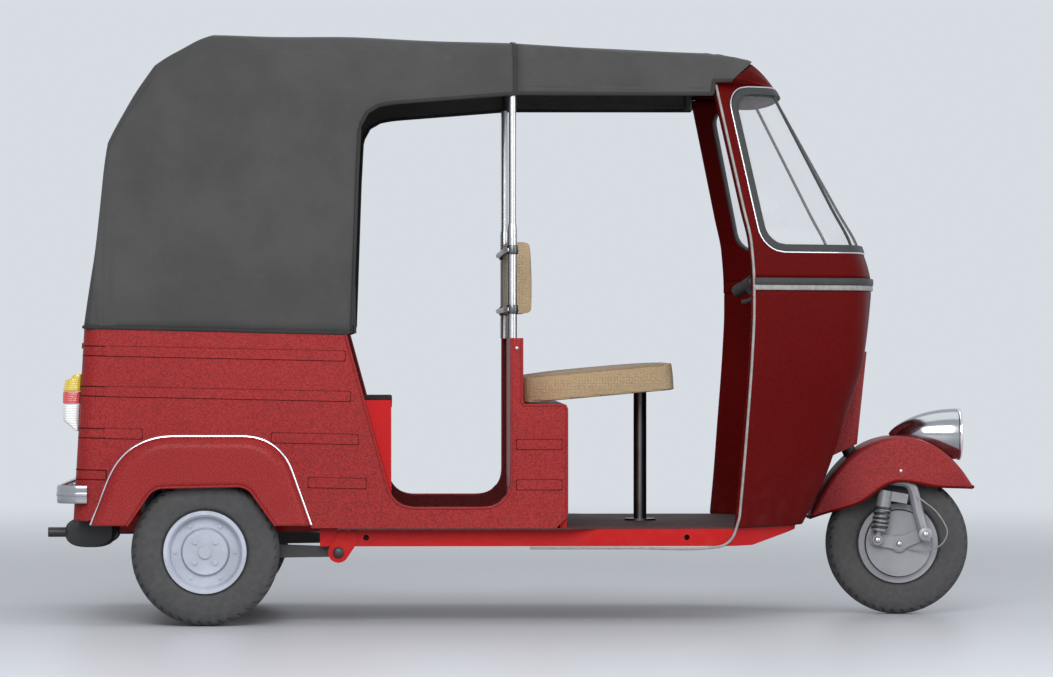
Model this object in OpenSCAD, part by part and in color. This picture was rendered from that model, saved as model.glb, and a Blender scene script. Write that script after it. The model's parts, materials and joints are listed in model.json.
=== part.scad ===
// Three-wheeled auto rickshaw: open cabin, fabric canopy, single-sided front fork.
// Modules are drawn with the rear axle at X = 0, +X forwards, +Z up and the ground at Z = 0.

/* [Overall] */
// Distance from the rear axle to the front axle
wheelbase = 2000; // [1960:10:2060]
// Width of the body over its side walls
body_w = 1180; // [1170:2:1190]
// Distance of the rear tyres' middles inside the body's sides
wheel_inset = 20; // [16:1:24]
// Thickness of the side and rear walls
wall = 20; // [14:1:24]
// Height of the floor's top above the ground
floor_z = 274; // [268:1:280]
// Thickness of the floor pan
floor_t = 4; // [3:0.5:6]

/* [Wheels] */
// Outer radius of each tyre
tyre_r = 208; // [204:1:212]
// Width of each tyre
tyre_w = 104; // [96:1:108]
// Radius of each rim's flange
rim_r = 116; // [112:1:120]
// Width of each rim over its flanges
rim_w = 100; // [92:1:102]
// Radius of the rear wheel shafts
shaft_r = 15; // [12:0.5:18]
// Radius of the front stub axle
stub_r = 10; // [8:0.5:12]

/* [Rear body] */
// Reach of the rear wall behind the rear axle, at the waist
tail_x = 341; // [330:1:360]
// Lean of the rear wall from upright, in degrees
tail_lean = 3.2; // [2:0.1:4]
// Radius of the upright rear corners
corner_r = 45; // [36:1:52]
// Height of the waist at the rear wall
waist_z = 838; // [820:1:860]
// Fall of the waist from the rear wall to the door
waist_fall = 17; // [8:1:24]
// Height of the rear skirt's lower edge
skirt_z = 297; // [290:1:304]
// Distance from the rear axle to the door's rear edge, at the waist
door_x = 391; // [380:1:400]
// Forward run of the door's rear edge from the waist to the sill
door_run = 134; // [110:1:150]
// Height of the sill's top
sill_z = 330; // [320:1:340]
// Radius of the door's lower corners
door_r = 85; // [60:1:95]
// Height of the pressed swages in the side walls
swage_h = 27; // [20:1:32]
// How far the swages stand out
swage_out = 4; // [2:0.5:6]

/* [Driver bulkhead] */
// Place of the bulkhead post, as a share of the wheelbase
post_share = 0.429; // [0.42:0.001:0.435]
// Width of the bulkhead post
post_w = 29; // [26:1:34]
// Height of the bulkhead post
post_z = 807; // [790:1:820]
// Length of the seat box from the post to its front
box_l = 155; // [132:1:172]
// Height of the seat box's side
box_z = 619; // [606:1:630]
// Size of the bevel at the seat box's lower front corner
box_cut = 34; // [20:1:40]

/* [Engine lid] */
// Width of the engine lid's opening
lid_w = 840; // [780:5:860]
// Height of the engine lid's opening
lid_h = 350; // [320:5:370]
// Distance of the opening below the waist
lid_drop = 68; // [60:1:80]
// Gap round the lid
lid_gap = 6; // [5:0.5:8]
// Thickness of the lid
lid_t = 14; // [10:1:16]

/* [Wheel flares] */
// Height of each flare's top
flare_z = 531; // [520:1:540]
// How far each flare stands out from the body
flare_out = 60; // [52:1:66]
// Sheet thickness of the flares
flare_t = 4; // [3:0.5:6]

/* [Cowl] */
// Distance of the cowl's rear edge behind the front axle, at the windscreen's top
cowl_back = 563; // [555:1:575]
// Length of the cowl from there to its front
cowl_l = 483; // [475:1:490]
// Height of the windscreen's top edge above the belt moulding's lower edge
screen_h = 584; // [570:1:598]
// Thickness of the cowl's wall
cowl_wall = 18; // [14:1:22]
// Height of the belt moulding's lower edge
belt_z = 942; // [930:1:955]
// Height of the belt moulding
belt_h = 36; // [24:1:40]
// How far the belt moulding stands out
belt_out = 6; // [3:0.5:8]
// Width of the windscreen's rubber seal
seal_w = 20; // [14:1:24]
// How far the seal stands out
seal_out = 3; // [2:0.5:5]
// Thickness of the windscreen glass
glass_t = 6; // [5:0.5:8]

/* [Canopy] */
// Height of the canopy's highest ridge
roof_z = 1687; // [1675:1:1700]
// Distance of the seam between hood and roof ahead of the bulkhead post
seam_ahead = 12; // [8:1:22]
// Thickness of the canopy's sheet
fabric_t = 5; // [4:0.5:7]
// Radius of the canopy's shoulders
shoulder_r = 110; // [90:1:120]
// Rise of the canopy's crown over its shoulders
crown = 30; // [20:1:40]
// Height of the roof's side from its edge over the door up to its ridge
roof_side_h = 142; // [132:1:152]
// Radius of the hood's tube bows
bow_r = 11; // [9:0.5:13]

/* [Steering] */
// Rake of the steering axis from upright, in degrees
rake = 25; // [24:0.5:26]
// Distance of the steering datum behind the front axle
head_back = 141.5; // [138:0.5:145]
// Height of the steering datum
head_z = 480; // [476:1:484]
// Radius of the steering stem
stem_r = 20; // [17:0.5:21]
// Wall of the steering head tube
head_wall = 6; // [4:0.5:7]
// Length of the steering head tube
head_l = 190; // [170:1:200]
// Height of the stem's top along the axis, above the datum
stem_top = 490; // [480:1:500]
// Length of each handlebar grip
grip_l = 110; // [90:1:120]

/* [Front mudguard] */
// Radius of the mudguard at its ends
guard_r = 269; // [264:1:274]
// Extra radius of the mudguard at its crown
guard_crown = 45; // [38:1:48]
// Half-width of the mudguard
guard_w = 122; // [118:1:128]
// Depth of the mudguard's side skirt
guard_skirt = 132; // [110:1:140]
// Sheet thickness of the mudguard
guard_t = 3.5; // [3:0.5:5]
// Reach of the mudguard ahead of the top, in degrees
guard_front = 53; // [50:0.5:56]
// Reach of the mudguard behind the top, in degrees
guard_rear = 74; // [68:0.5:76]

/* [Headlamp] */
// Radius of the headlamp's rim
lamp_r = 74.5; // [70:0.5:78]
// Length of the headlamp's shell behind the rim
lamp_l = 202; // [190:1:210]
// Height of the headlamp's middle
lamp_z = 526; // [522:1:530]
// Distance of the headlamp's rim ahead of the front axle
lamp_x = 178; // [174:1:182]

/* [Seats] */
// Height of the passenger bench's top panel
bench_z = 633; // [620:1:645]
// Distance from the rear axle to the bench's front wall
bench_x = 520; // [505:1:535]
// Thickness of the passenger cushion
cushion_t = 100; // [80:1:110]
// Depth of the passenger cushion
cushion_l = 405; // [390:1:415]
// Thickness of the driver's cushion
seat_t = 80; // [70:1:90]
// Depth of the driver's cushion
seat_l = 440; // [420:1:450]
// Width of the driver's cushion
seat_w = 620; // [560:5:660]
// Upward tilt of the driver's cushion, in degrees
seat_tilt = 5.2; // [4:0.1:6]

/* [Hidden] */
$fn = 64;

// Gap between neighbours that don't move against each other
seam = 0.3;
// Clearance of a running fit, on the radius
fit = 0.05;
// Overrun of a cut past the face it starts from
over = 30;
// Thickness of one slice of a hulled form
slice = 1;

half_w = body_w / 2;
track = body_w - 2 * wheel_inset;
axle_z = tyre_r;
front_x = wheelbase;
post_x = post_share * wheelbase;
box_x = post_x + box_l;
seam_x = post_x + seam_ahead;
cowl_h = belt_z + screen_h;
cowl_x = wheelbase - cowl_back;
head_x = wheelbase - head_back;
rail_top = floor_z - floor_t;
hood_l = seam_x + tail_x;

// Vector and outline helpers
function unit(v) = v / norm(v);
function lerp(a, b, t) = a + (b - a) * t;
function flip(list) = [for (i = [len(list) - 1 : -1 : 0]) list[i]];
function arc(c, r, a, b, n) = [for (i = [0 : n]) c + r * [cos(lerp(a, b, i / n)), sin(lerp(a, b, i / n))]];

// Arc that rounds the corner b between the points a and c
function fillet(a, b, c, r, n) =
    let (u = unit(a - b), v = unit(c - b), half = acos(u * v) / 2,
        m = b + unit(u + v) * r / sin(half),
        p = b + u * r / tan(half) - m, q = b + v * r / tan(half) - m,
        start = atan2(p.y, p.x), turn = atan2(p.x * q.y - p.y * q.x, p * q))
    arc(m, r, start, start + turn, n);

// Closed outline with each corner rounded by its own radius
function rounded(p, r, n = 5) = [for (i = [0 : len(p) - 1])
    let (k = len(p), radius = is_list(r) ? r[i] : r)
    each (radius > 0 ? fillet(p[(i + k - 1) % k], p[i], p[(i + 1) % k], radius, n) : [p[i]])];

// Open path in plan, moved to its left by d with mitred corners
function shifted(p, d) = [for (i = [0 : len(p) - 1])
    let (a = unit(p[min(i + 1, len(p) - 1)] - p[min(i, len(p) - 2)]),
        b = unit(p[max(i, 1)] - p[max(i - 1, 0)]),
        n = [-a.y - b.y, a.x + b.x])
    p[i] + n * d * 2 / (n * n)];

// Plate of the XZ outline of its children, from y to y + t
module xz_plate(y, t) {
    translate([0, y + t, 0]) rotate([90, 0, 0]) linear_extrude(t) children();
}

// Bar of the XZ outline of its children across the whole width w
module xz_bar(w) {
    xz_plate(-w / 2, w) children();
}

// Children and their mirror image across the middle plane
module both_sides() {
    children();
    mirror([0, 1, 0]) children();
}

// Moves the part so that its origin is under the middle of its box
module placed() {
    translate([-middle_x, 0, 0]) children();
}

// Frame of the leaning rear wall: origin on its outer face at the waist, Z along the wall
module on_tail() {
    translate([-tail_x, 0, waist_z]) rotate([0, tail_lean, 0]) children();
}

// Frame of the steering axis: origin at the datum, Z up along the axis, X forwards
module on_steering() {
    translate([head_x, 0, head_z]) rotate([0, -rake, 0]) children();
}
function steering_point(p) = [head_x + p.x * cos(rake) - p.z * sin(rake), p.y,
    head_z + p.x * sin(rake) + p.z * cos(rake)];

// Frame of a wheel: Z outwards along the axle, side -1 for the right wheel and 1 for the left
module on_wheel(x, y, side) {
    translate([x, y, axle_z]) rotate([-side * 90, 0, 0]) children();
}

// Closed sheet between rows of outer points and the same rows of inner points
module sheet_loft(outer, inner) {
    rows = len(outer);
    cols = len(outer[0]);
    function o(k, i) = k * cols + i;
    function n(k, i) = rows * cols + k * cols + i;
    function quad(a, b, c, d) = [[a, b, c], [a, c, d]];
    polyhedron(
        points = [for (row = concat(outer, inner)) each row],
        faces = [
            for (k = [0 : rows - 2]) for (i = [0 : cols - 2]) each concat(
                quad(o(k, i), o(k + 1, i), o(k + 1, i + 1), o(k, i + 1)),
                quad(n(k, i), n(k, i + 1), n(k + 1, i + 1), n(k + 1, i))),
            for (i = [0 : cols - 2]) each concat(
                quad(o(0, i), o(0, i + 1), n(0, i + 1), n(0, i)),
                quad(o(rows - 1, i), n(rows - 1, i), n(rows - 1, i + 1), o(rows - 1, i + 1))),
            for (k = [0 : rows - 2]) each concat(
                quad(o(k, 0), n(k, 0), n(k + 1, 0), o(k + 1, 0)),
                quad(o(k, cols - 1), o(k + 1, cols - 1), n(k + 1, cols - 1), n(k, cols - 1)))]);
}

// Closed solid through rows of points that each go once round a convex section
module solid_loft(rows) {
    cols = len(rows[0]);
    last = len(rows) - 1;
    polyhedron(
        points = [for (row = rows) each row],
        faces = [
            [for (i = [cols - 1 : -1 : 0]) i],
            [for (i = [0 : cols - 1]) last * cols + i],
            for (k = [0 : last - 1]) for (i = [0 : cols - 1]) let (j = (i + 1) % cols) each
                [[k * cols + i, k * cols + j, (k + 1) * cols + j],
                [k * cols + i, (k + 1) * cols + j, (k + 1) * cols + i]]]);
}

// Round bar along a path, with one radius at each point; the path never runs along ref
module tube(path, radii, sides, ref) {
    last = len(path) - 1;
    solid_loft([for (k = [0 : last])
        let (d = unit(path[min(k + 1, last)] - path[max(k - 1, 0)]), u = unit(cross(ref, d)),
            v = cross(d, u),
            r = is_list(radii) ? radii[k] : radii)
        [for (i = [sides - 1 : -1 : 0]) path[k] + r * (cos(360 * i / sides) * u + sin(360 * i / sides) * v)]]);
}

// Smooth path through hand-set points, with n steps between two of them
function smooth(p, n) = concat([for (i = [0 : len(p) - 2]) for (j = [0 : n - 1])
    let (a = p[max(i - 1, 0)], b = p[i], c = p[i + 1], d = p[min(i + 2, len(p) - 1)], t = j / n)
    b + (c - a) * t / 2 + (2 * a - 5 * b + 4 * c - d) * t * t / 2 + (3 * b - a - 3 * c + d) * t * t * t / 2],
    [p[len(p) - 1]]);

// Wheels
rim_bed_share = 0.905;
rim_wall = 6;
rim_disc_share = 0.595;
rim_recess_share = 0.84;
lip_share = 0.1;
rim_dish = 16;
hub_r = 32;
hub_cap_r = 18;
hub_cap_h = 8;
nut_r = 8;
nut_h = 6;
bolt_r = 5;

// Tyre section, from the bead up to the tread, as shares of [side half-width, height over the rim bed]
tyre_shares = [[0.76, 0], [0.78, 0.11], [0.94, 0.2], [1, 0.48], [0.96, 0.72], [0.86, 0.87], [0.62, 0.965],
    [0.3, 0.995]];

module tyre() {
    bed = rim_r * rim_bed_share + seam;
    side = [for (s = tyre_shares) [lerp(bed, tyre_r, s.y), s.x * tyre_w / 2]];
    rotate_extrude() polygon(concat(side, [[tyre_r, 0]], flip([for (p = side) [p.x, -p.y]])));
}

module rim(hole_r, dish) {
    bed = rim_r * rim_bed_share;
    lip = rim_w / 2;
    lip_t = tyre_w * lip_share;
    inner = bed - rim_wall;
    disc = rim_r * rim_disc_share;
    recess = rim_r * rim_recess_share;
    difference() {
        union() {
            rotate_extrude() polygon([[0, dish + hub_cap_h], [hub_cap_r, dish + hub_cap_h],
                [hub_cap_r, dish], [disc - rim_wall, dish], [disc, dish - rim_dish],
                    [recess, dish - rim_dish],
                [inner, lip - rim_wall], [bed, lip], [rim_r, lip], [rim_r, lip - lip_t / 2],
                    [bed, lip - lip_t],
                [bed, lip_t - lip], [rim_r, lip_t / 2 - lip], [rim_r, -lip], [inner, -lip],
                [inner, dish - rim_dish - 2 * rim_wall], [recess, dish - rim_dish - rim_wall],
                [hub_r, dish - rim_dish - rim_wall], [hub_r, rim_wall - lip], [0, rim_wall - lip]]);
            for (i = [0 : 3]) rotate([0, 0, 45 + i * 90])
                translate([(disc + hub_cap_r) / 2 - rim_wall / 2, 0, dish - rim_wall / 2])
                cylinder(r = nut_r, h = nut_h + rim_wall / 2, $fn = 6);
            for (i = [0 : 5]) rotate([0, 0, i * 60])
                translate([(recess + disc) / 2, 0, dish - rim_dish - rim_wall / 2])
                cylinder(r = bolt_r, h = nut_h + rim_wall / 2, $fn = 6);
        }
        translate([0, 0, -lip]) cylinder(r = hole_r + fit, h = lip + dish - rim_wall);
    }
}

rim_face = 34;
front_face = 30;

module rear_wheel_at(side) {
    placed() on_wheel(0, side * track / 2, side) children();
}
module rear_tyre_right() { color([0.28, 0.28, 0.29]) rear_wheel_at(-1) tyre(); }
module rear_tyre_left() { color([0.28, 0.28, 0.29]) rear_wheel_at(1) tyre(); }
module rear_rim_right() { color([0.82, 0.84, 0.9]) rear_wheel_at(-1) rim(shaft_r, rim_face); }
module rear_rim_left() { color([0.82, 0.84, 0.9]) rear_wheel_at(1) rim(shaft_r, rim_face); }
module front_tyre() { color([0.28, 0.28, 0.29]) placed() on_wheel(front_x, 0, 1) tyre(); }
module front_rim() { color([0.82, 0.84, 0.9]) placed() on_wheel(front_x, 0, 1) rim(stub_r, front_face); }

// Chassis
rail_h = 49;
rail_w = 40;
rail_back = 71;
rail_x = door_x - rail_back;
rail_inset = 50;
cross_w = 50;
cross_shares = [0, 0.42, 0.8];
nose_rise_share = 0.84;
nose_inset = 20;
nose_back = 140;
cradle_y = 205;
cradle_w = 34;
cradle_z = 250;
cradle_back = 260;
pivot_back = 19;
pivot_x = door_x - pivot_back;
pivot_drop = 17;
pivot_r = 10;
pivot_w = 52;
bracket_t = 6;
bracket_r = 29;
bracket_top = [24, 36];
arm_inset = 120;
arm_y = half_w - arm_inset;
arm_t = 26;
tie_r = 8;
tie_x = 130;

// Cowl section rows as shares: [height, rear x, rear half-width, corner x, corner half-width, front x], each x
// of cowl_l and each width of the body's half-width; heights up to 1 are of belt_z, and the rest of screen_h
cowl_shares = [
    [0.288, 0.126, 0.941, 0.542, 0.563, 0.549],
    [0.426, 0.149, 0.958, 0.673, 0.580, 0.685],
    [0.583, 0.172, 0.983, 0.762, 0.610, 0.814],
    [0.818, 0.203, 1.000, 0.886, 0.661, 0.952],
    [0.944, 0.213, 1.000, 0.880, 0.678, 0.988],
    [1.015, 0.213, 1.000, 0.886, 0.678, 1.000],
    [1.227, 0.197, 0.992, 0.818, 0.686, 0.934],
    [2.000, 0.000, 0.847, 0.340, 0.622, 0.412]];
cowl_last = len(cowl_shares) - 1;
corner_start_share = 0.2;
corner_end_share = 0.82;
front_shares = [0.6, 0.4, 0.2];

function cowl_row(z) =
    let (h = z < belt_z ? z / belt_z : 1 + (z - belt_z) / screen_h,
        k = max([0, for (i = [0 : cowl_last - 1]) if (h > cowl_shares[i][0]) i]),
        a = cowl_shares[k], b = cowl_shares[k + 1])
    lerp(a, b, (h - a[0]) / (b[0] - a[0]));

// Plan of the cowl at a height, from the right rear edge round the front to the left, moved inwards by d
function cowl_plan(z, d) =
    let (s = cowl_row(z),
        a = [cowl_x + s[1] * cowl_l, s[2] * half_w], b = [cowl_x + s[3] * cowl_l, s[4] * half_w],
        nose = cowl_x + s[5] * cowl_l,
        p = b + (a - b) * corner_start_share, q_y = corner_end_share,
        q = [nose - (nose - b.x) * q_y * q_y, b.y * q_y],
        half = concat([a], [for (t = [0 : 0.25 : 1]) lerp(lerp(p, b, t), lerp(b, q, t), t)],
            [for (t = front_shares) [nose - (nose - b.x) * t * t, b.y * t]]))
    shifted(concat([for (e = half) [e.x, -e.y]], [[nose, 0]], flip(half)), d);
function cowl_line(z, d) = [for (e = cowl_plan(z, d)) [e.x, e.y, z]];

// Heights of the cowl's rows between two heights
function row_height(h) = h < 1 ? h * belt_z : belt_z + (h - 1) * screen_h;
function cowl_heights(low, high) = concat([low], [for (s = cowl_shares) let (z = row_height(s[0]))
    if (z > low + seam && z < high - seam) z], [high]);
module cowl_wall_between(low, high, outer, inner) {
    heights = cowl_heights(low, high);
    sheet_loft([for (z = heights) cowl_line(z, outer)], [for (z = heights) cowl_line(z, inner)]);
}

// Whole inside of the cowl between two heights, with its outline moved inwards by d
module cowl_filled(low, high, d) {
    solid_loft([for (z = cowl_heights(low, high)) flip(cowl_line(z, d))]);
}

cowl_lap = 2;
cowl_low = floor_z - cowl_lap;

pivot_z = rail_top - rail_h - pivot_drop;

// Plate of a trailing arm's bracket, from y to y + t, with its pivot at the origin and two round ends
module bracket(y, t) {
    lean = atan2(bracket_top.y, bracket_top.x);
    xz_plate(y, t) polygon(concat(arc([0, 0], bracket_r, lean + 90, lean + 270, 12),
        arc(bracket_top, bracket_r, lean - 90, lean + 90, 12)));
}

module chassis_frame() {
    nose = cowl_plan(cowl_low, nose_inset);
    rear = [rail_x, half_w - rail_inset];
    path = concat([[rear.x, -rear.y]], nose, [rear]);
    nose_tip = nose[(len(nose) - 1) / 2].x;
    span = nose[0].x - rail_x;
    color([0.78, 0.1, 0.11]) placed() difference() {
        union() {
            translate([0, 0, rail_top - rail_h]) linear_extrude(rail_h)
                polygon(concat(path, flip(shifted(path, rail_w))));
            for (s = cross_shares) translate([rail_x + s * span, -rear.y + rail_w / 2, rail_top - rail_h])
                cube([cross_w, 2 * rear.y - rail_w, rail_h]);
            both_sides() {
                translate([-cradle_back, cradle_y, cradle_z])
                    cube([cradle_back + rail_x + cross_w, cradle_w, rail_h]);
                translate([rail_x, cradle_y, rail_top - rail_h])
                    cube([cross_w, cradle_w, cradle_z + 2 * rail_h - rail_top]);
                translate([pivot_x, 0, pivot_z]) {
                    bracket(arm_y - bracket_t - seam, bracket_t);
                    bracket(rear.y - rail_w / 4, rail_w / 4 + bracket_t);
                    translate([0, arm_y - 2 * bracket_t, 0]) rotate([-90, 0, 0])
                        cylinder(r = pivot_r, h = rear.y - arm_y + 4 * bracket_t);
                }
                translate([pivot_x - pivot_w / 2, arm_y - bracket_t - seam, rail_top - rail_h])
                    cube([pivot_w, rear.y - arm_y, bracket_t]);
            }
        }
        xz_bar(body_w) polygon([[nose_tip - nose_back, rail_top - rail_h],
            [nose_tip + over, rail_top - rail_h - over],
            [nose_tip + over, rail_top - rail_h + rail_h * nose_rise_share * (nose_back + over) / nose_back]]);
        for (x = [rail_x + tie_x, nose[0].x - tie_x]) translate([x, -half_w, rail_top - rail_h / 2])
            rotate([-90, 0, 0])
            cylinder(r = tie_r, h = body_w);
    }
}

floor_step = 90;

module floor_pan() {
    nose = cowl_plan(cowl_low, cowl_wall + seam);
    edge = [[rail_x + cross_w + seam, half_w], [box_x, half_w],
        [box_x + floor_step, nose[len(nose) - 1].y]];
    color([0.25, 0.2, 0.2]) placed() translate([0, 0, rail_top]) linear_extrude(floor_t)
        polygon(concat([for (p = edge) [p.x, -p.y]], nose, flip(edge)));
}

// Rear body
function waist(x) = waist_z - waist_fall * (x + tail_x) / (door_x + tail_x);
function tail_point(x, z) = [-tail_x + x * cos(tail_lean) + z * sin(tail_lean),
    waist_z - x * sin(tail_lean) + z * cos(tail_lean)];
tail_h = (waist_z - skirt_z) / cos(tail_lean);

// Swages of a side wall: [rear x, front x, height] as shares of the rear wall's length and the waist's height
swage_shares = [[0.08, 1.0, 0.920], [0.08, 1.02, 0.785], [0.08, 0.225, 0.645], [0.72, 1.05, 0.630],
    [0.86, 1.08, 0.480]];
post_swage_shares = [0.63, 0.49];
swage_fall = 1.2;
swage_margin = 14;

// Flat strip with rounded corners, lying along X from x to x + l in the XZ outline plane
strip_round_share = 0.2;
module strip(l, h) {
    polygon(rounded([[0, -h / 2], [l, -h / 2], [l, h / 2], [0, h / 2]], h * strip_round_share, 3));
}

// Outline of a wheel flare, as shares of its reach [behind, ahead] and of its height
flare_back = 319;
flare_ahead = 295;
flare_low = 283;
flare_top_shares = [0.70, 0.70];
flare_rear_r = 200;
flare_front_r = 150;
flare_lip = 12;
function flare_outline(inset, drop) = rounded([[inset - flare_back, flare_low - drop],
    [inset - flare_back * flare_top_shares[0], flare_z - inset],
        [flare_ahead * flare_top_shares[1] - inset, flare_z - inset],
    [flare_ahead - inset, flare_low - drop]], [0, flare_rear_r - inset, flare_front_r - inset, 0], 8);

// Opening in the flare's outer face, as shares of the same reach and of the height over flare_low
mouth_shares = [[-0.68, 0], [-0.45, 0.43], [0.40, 0.45], [0.67, 0]];
mouth_r = 55;
function flare_mouth() = rounded([for (s = mouth_shares)
    [s.x * (s.x < 0 ? flare_back : flare_ahead), s.y > 0 ? lerp(flare_low, flare_z,
        s.y) : flare_low - over]],
    [0, mouth_r, mouth_r, 0], 6);

module side_wall() {
    rear_top = tail_point(corner_r + seam, 0);
    rear_low = tail_point(corner_r + seam, -tail_h);
    length = door_x + tail_x;
    xz_plate(half_w - wall, wall) difference() {
        polygon(rounded([rear_top, [door_x, waist(door_x)], [door_x + door_run, sill_z], [post_x, sill_z],
            [post_x, post_z], [post_x + post_w, post_z], [post_x + post_w, box_z], [box_x, box_z],
            [box_x, floor_z + box_cut], [box_x - box_cut, floor_z], [flare_ahead, floor_z],
                [flare_ahead, skirt_z],
            [rear_low.x, skirt_z]], [0, 0, door_r, door_r, 0, 0, 0, 0, 0, 0, 0, 0, 0]));
        polygon(flare_outline(flare_lip, over));
    }
    for (s = swage_shares)
        translate([max(s[0] * length - tail_x, rear_top.x), 0, s[2] * waist_z]) rotate([0, swage_fall, 0])
            xz_plate(half_w - swage_out, 2 * swage_out) strip((s[1] - s[0]) * length, swage_h);
    for (s = post_swage_shares) translate([post_x + swage_margin, 0, s * post_z])
        xz_plate(half_w - swage_out, 2 * swage_out) strip(box_x - post_x - 2 * swage_margin, swage_h);
}

module side_panel_left() { color([0.67, 0.22, 0.24]) placed() side_wall(); }
module side_panel_right() { color([0.67, 0.22, 0.24]) placed() mirror([0, 1, 0]) side_wall(); }

hinge_r = 8;
hinge_pin_r = 4;
hinge_l = 60;
hinge_lug = 12;
hinge_rise = 14;
hinge_y_share = 0.36;
strap_t = 4;
lid_r = 30;
louvre_h = 9;
louvre_share = 0.36;
louvre_rows = 6;
lid_top = -lid_drop;
hinge_z = lid_top + hinge_rise;
hinge_x = -hinge_r - 2 * seam;

// Rounded window in the leaning wall's own YZ plane, through its whole thickness
module tail_window(w, low, high, r, x, t) {
    translate([x, 0, 0]) rotate([90, 0, 90]) linear_extrude(t)
        polygon(rounded([[-w / 2, low], [w / 2, low], [w / 2, high], [-w / 2, high]], r));
}

module rear_panel() {
    outer = concat([[corner_r, -half_w]], arc([corner_r, corner_r - half_w], corner_r, 270, 180, 8),
        arc([corner_r, half_w - corner_r], corner_r, 180, 90, 8));
    color([0.67, 0.22, 0.24]) placed() on_tail() difference() {
        union() {
            translate([0, 0, -tail_h]) linear_extrude(tail_h)
                polygon(concat(outer, flip([for (p = outer)
                    [p.x < corner_r ? corner_r - (corner_r - p.x) * (corner_r - wall) / corner_r : p.x,
                    sign(p.y) * (abs(p.y) > half_w - corner_r
                        ? half_w - corner_r + (abs(p.y) - half_w + corner_r) * (corner_r - wall) / corner_r
                        : abs(p.y))]])));
            for (y = [-1, 1], end = [-1, 1]) translate([hinge_x,
                y * hinge_y_share * lid_w + end * (hinge_l + hinge_lug) / 2, hinge_z]) {
                translate([-hinge_r, -hinge_lug / 2 + seam, -hinge_r])
                    cube([2 * hinge_r + 4 * seam, hinge_lug - 2 * seam, 2 * hinge_r]);
            }
            for (y = [-1, 1]) translate([hinge_x, y * hinge_y_share * lid_w - hinge_l / 2 - hinge_lug / 2,
                hinge_z]) rotate([-90, 0, 0])
                cylinder(r = hinge_pin_r, h = hinge_l + hinge_lug);
        }
        tail_window(lid_w, lid_top - lid_h, lid_top, lid_r, -over, wall + 2 * over);
    }
}

module engine_lid() {
    color([0.64, 0.2, 0.22]) placed() on_tail() difference() {
        union() {
            tail_window(lid_w - 2 * lid_gap, lid_top - lid_h + lid_gap, lid_top - lid_gap,
                lid_r - lid_gap, 0, lid_t);
            for (y = [-1, 1]) translate([0, y * hinge_y_share * lid_w - hinge_l / 2 + seam, 0]) {
                translate([hinge_x, 0, hinge_z]) rotate([-90, 0, 0])
                    cylinder(r = hinge_r, h = hinge_l - 2 * seam);
                translate([hinge_x - strap_t, 0, hinge_z - hinge_rise - 2 * hinge_l / 3])
                    cube([strap_t - hinge_x, hinge_l - 2 * seam, 2 * hinge_l / 3]);
                translate([hinge_x - strap_t, 0, hinge_z - hinge_rise])
                    cube([2 * strap_t, hinge_l - 2 * seam, hinge_rise]);
            }
        }
        for (y = [-1, 1]) translate([hinge_x, y * hinge_y_share * lid_w - hinge_l, hinge_z])
            rotate([-90, 0, 0])
            cylinder(r = hinge_pin_r + fit, h = 2 * hinge_l);
        for (y = [-1, 1], i = [1 : louvre_rows])
            translate([-over, y * lid_w / 4 - louvre_share * lid_w / 2,
                lid_top - lid_h * (i + 1) / (louvre_rows + 3) - louvre_h / 2])
                cube([lid_t + 2 * over, louvre_share * lid_w, louvre_h]);
    }
}

flare_round = 16;
// Sections of the flares as shares of [flare_out, flare_round]
flare_middle_shares = [0.55, 0.4];
flare_shoulder_shares = [0.86, 1];
flare_inner_share = 1.5;
module wheel_flares() {
    color([0.67, 0.22, 0.24]) placed() both_sides() difference() {
        hull() {
            xz_plate(half_w, slice) polygon(flare_outline(0, 0));
            xz_plate(half_w + flare_out * flare_middle_shares[0], slice)
                polygon(flare_outline(flare_round * flare_middle_shares[1], 0));
            xz_plate(half_w + flare_out * flare_shoulder_shares[0], slice)
                polygon(flare_outline(flare_round * flare_shoulder_shares[1], 0));
            xz_plate(half_w + flare_out - slice, slice) polygon(flare_outline(flare_round * 2, 0));
        }
        hull() {
            xz_plate(half_w - over, slice) polygon(flare_outline(flare_t, over));
            xz_plate(half_w + flare_out * flare_middle_shares[0] - flare_t, slice)
                polygon(flare_outline(flare_round * flare_middle_shares[1] + flare_t, over));
            xz_plate(half_w + flare_out - 2 * flare_t, slice)
                polygon(flare_outline(flare_round * flare_inner_share + flare_t, over));
        }
        xz_plate(half_w, flare_out + over) polygon(flare_mouth());
    }
}

// Cowl and windscreen
head_low = 25;
head_r = stem_r + head_wall;
cover_w = 150;
cover_t = 4;
cover_reach = 26;
cover_rise = 287;
cover_top = head_z + cover_rise;
cover_lean = 6;
cover_clear = 8;

// Cylinder along the steering axis
module along_stem(r, low, high) {
    on_steering() translate([0, 0, low]) cylinder(r = r, h = high - low);
}

module cowl_lower() {
    color([0.42, 0.06, 0.07]) placed() difference() {
        cowl_wall_between(cowl_low, belt_z, 0, cowl_wall);
        along_stem(head_r + seam, -head_l, 2 * head_l);
    }
}

module belt_moulding() {
    color([0.35, 0.36, 0.37]) placed()
        cowl_wall_between(belt_z + seam, belt_z + belt_h - seam, -belt_out, cowl_wall);
}

// Side outline of the windscreen's opening, moved inwards by d
pane_low_share = 0.135;
pane_low = lerp(belt_z + belt_h, cowl_h, pane_low_share);
pane_high_gap = 8;
pane_rear = [134, 51];
pane_r = 62;
function pane(d) = rounded([[cowl_x + pane_rear[0] + d, pane_low + d],
    [cowl_x + pane_rear[1] + d, cowl_h - pane_high_gap - d],
    [wheelbase, cowl_h - pane_high_gap - d], [wheelbase, pane_low + d]], [pane_r - d, pane_r - d, 0, 0], 6);
module pane_bar(d) {
    xz_bar(body_w + over) polygon(pane(d));
}

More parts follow.
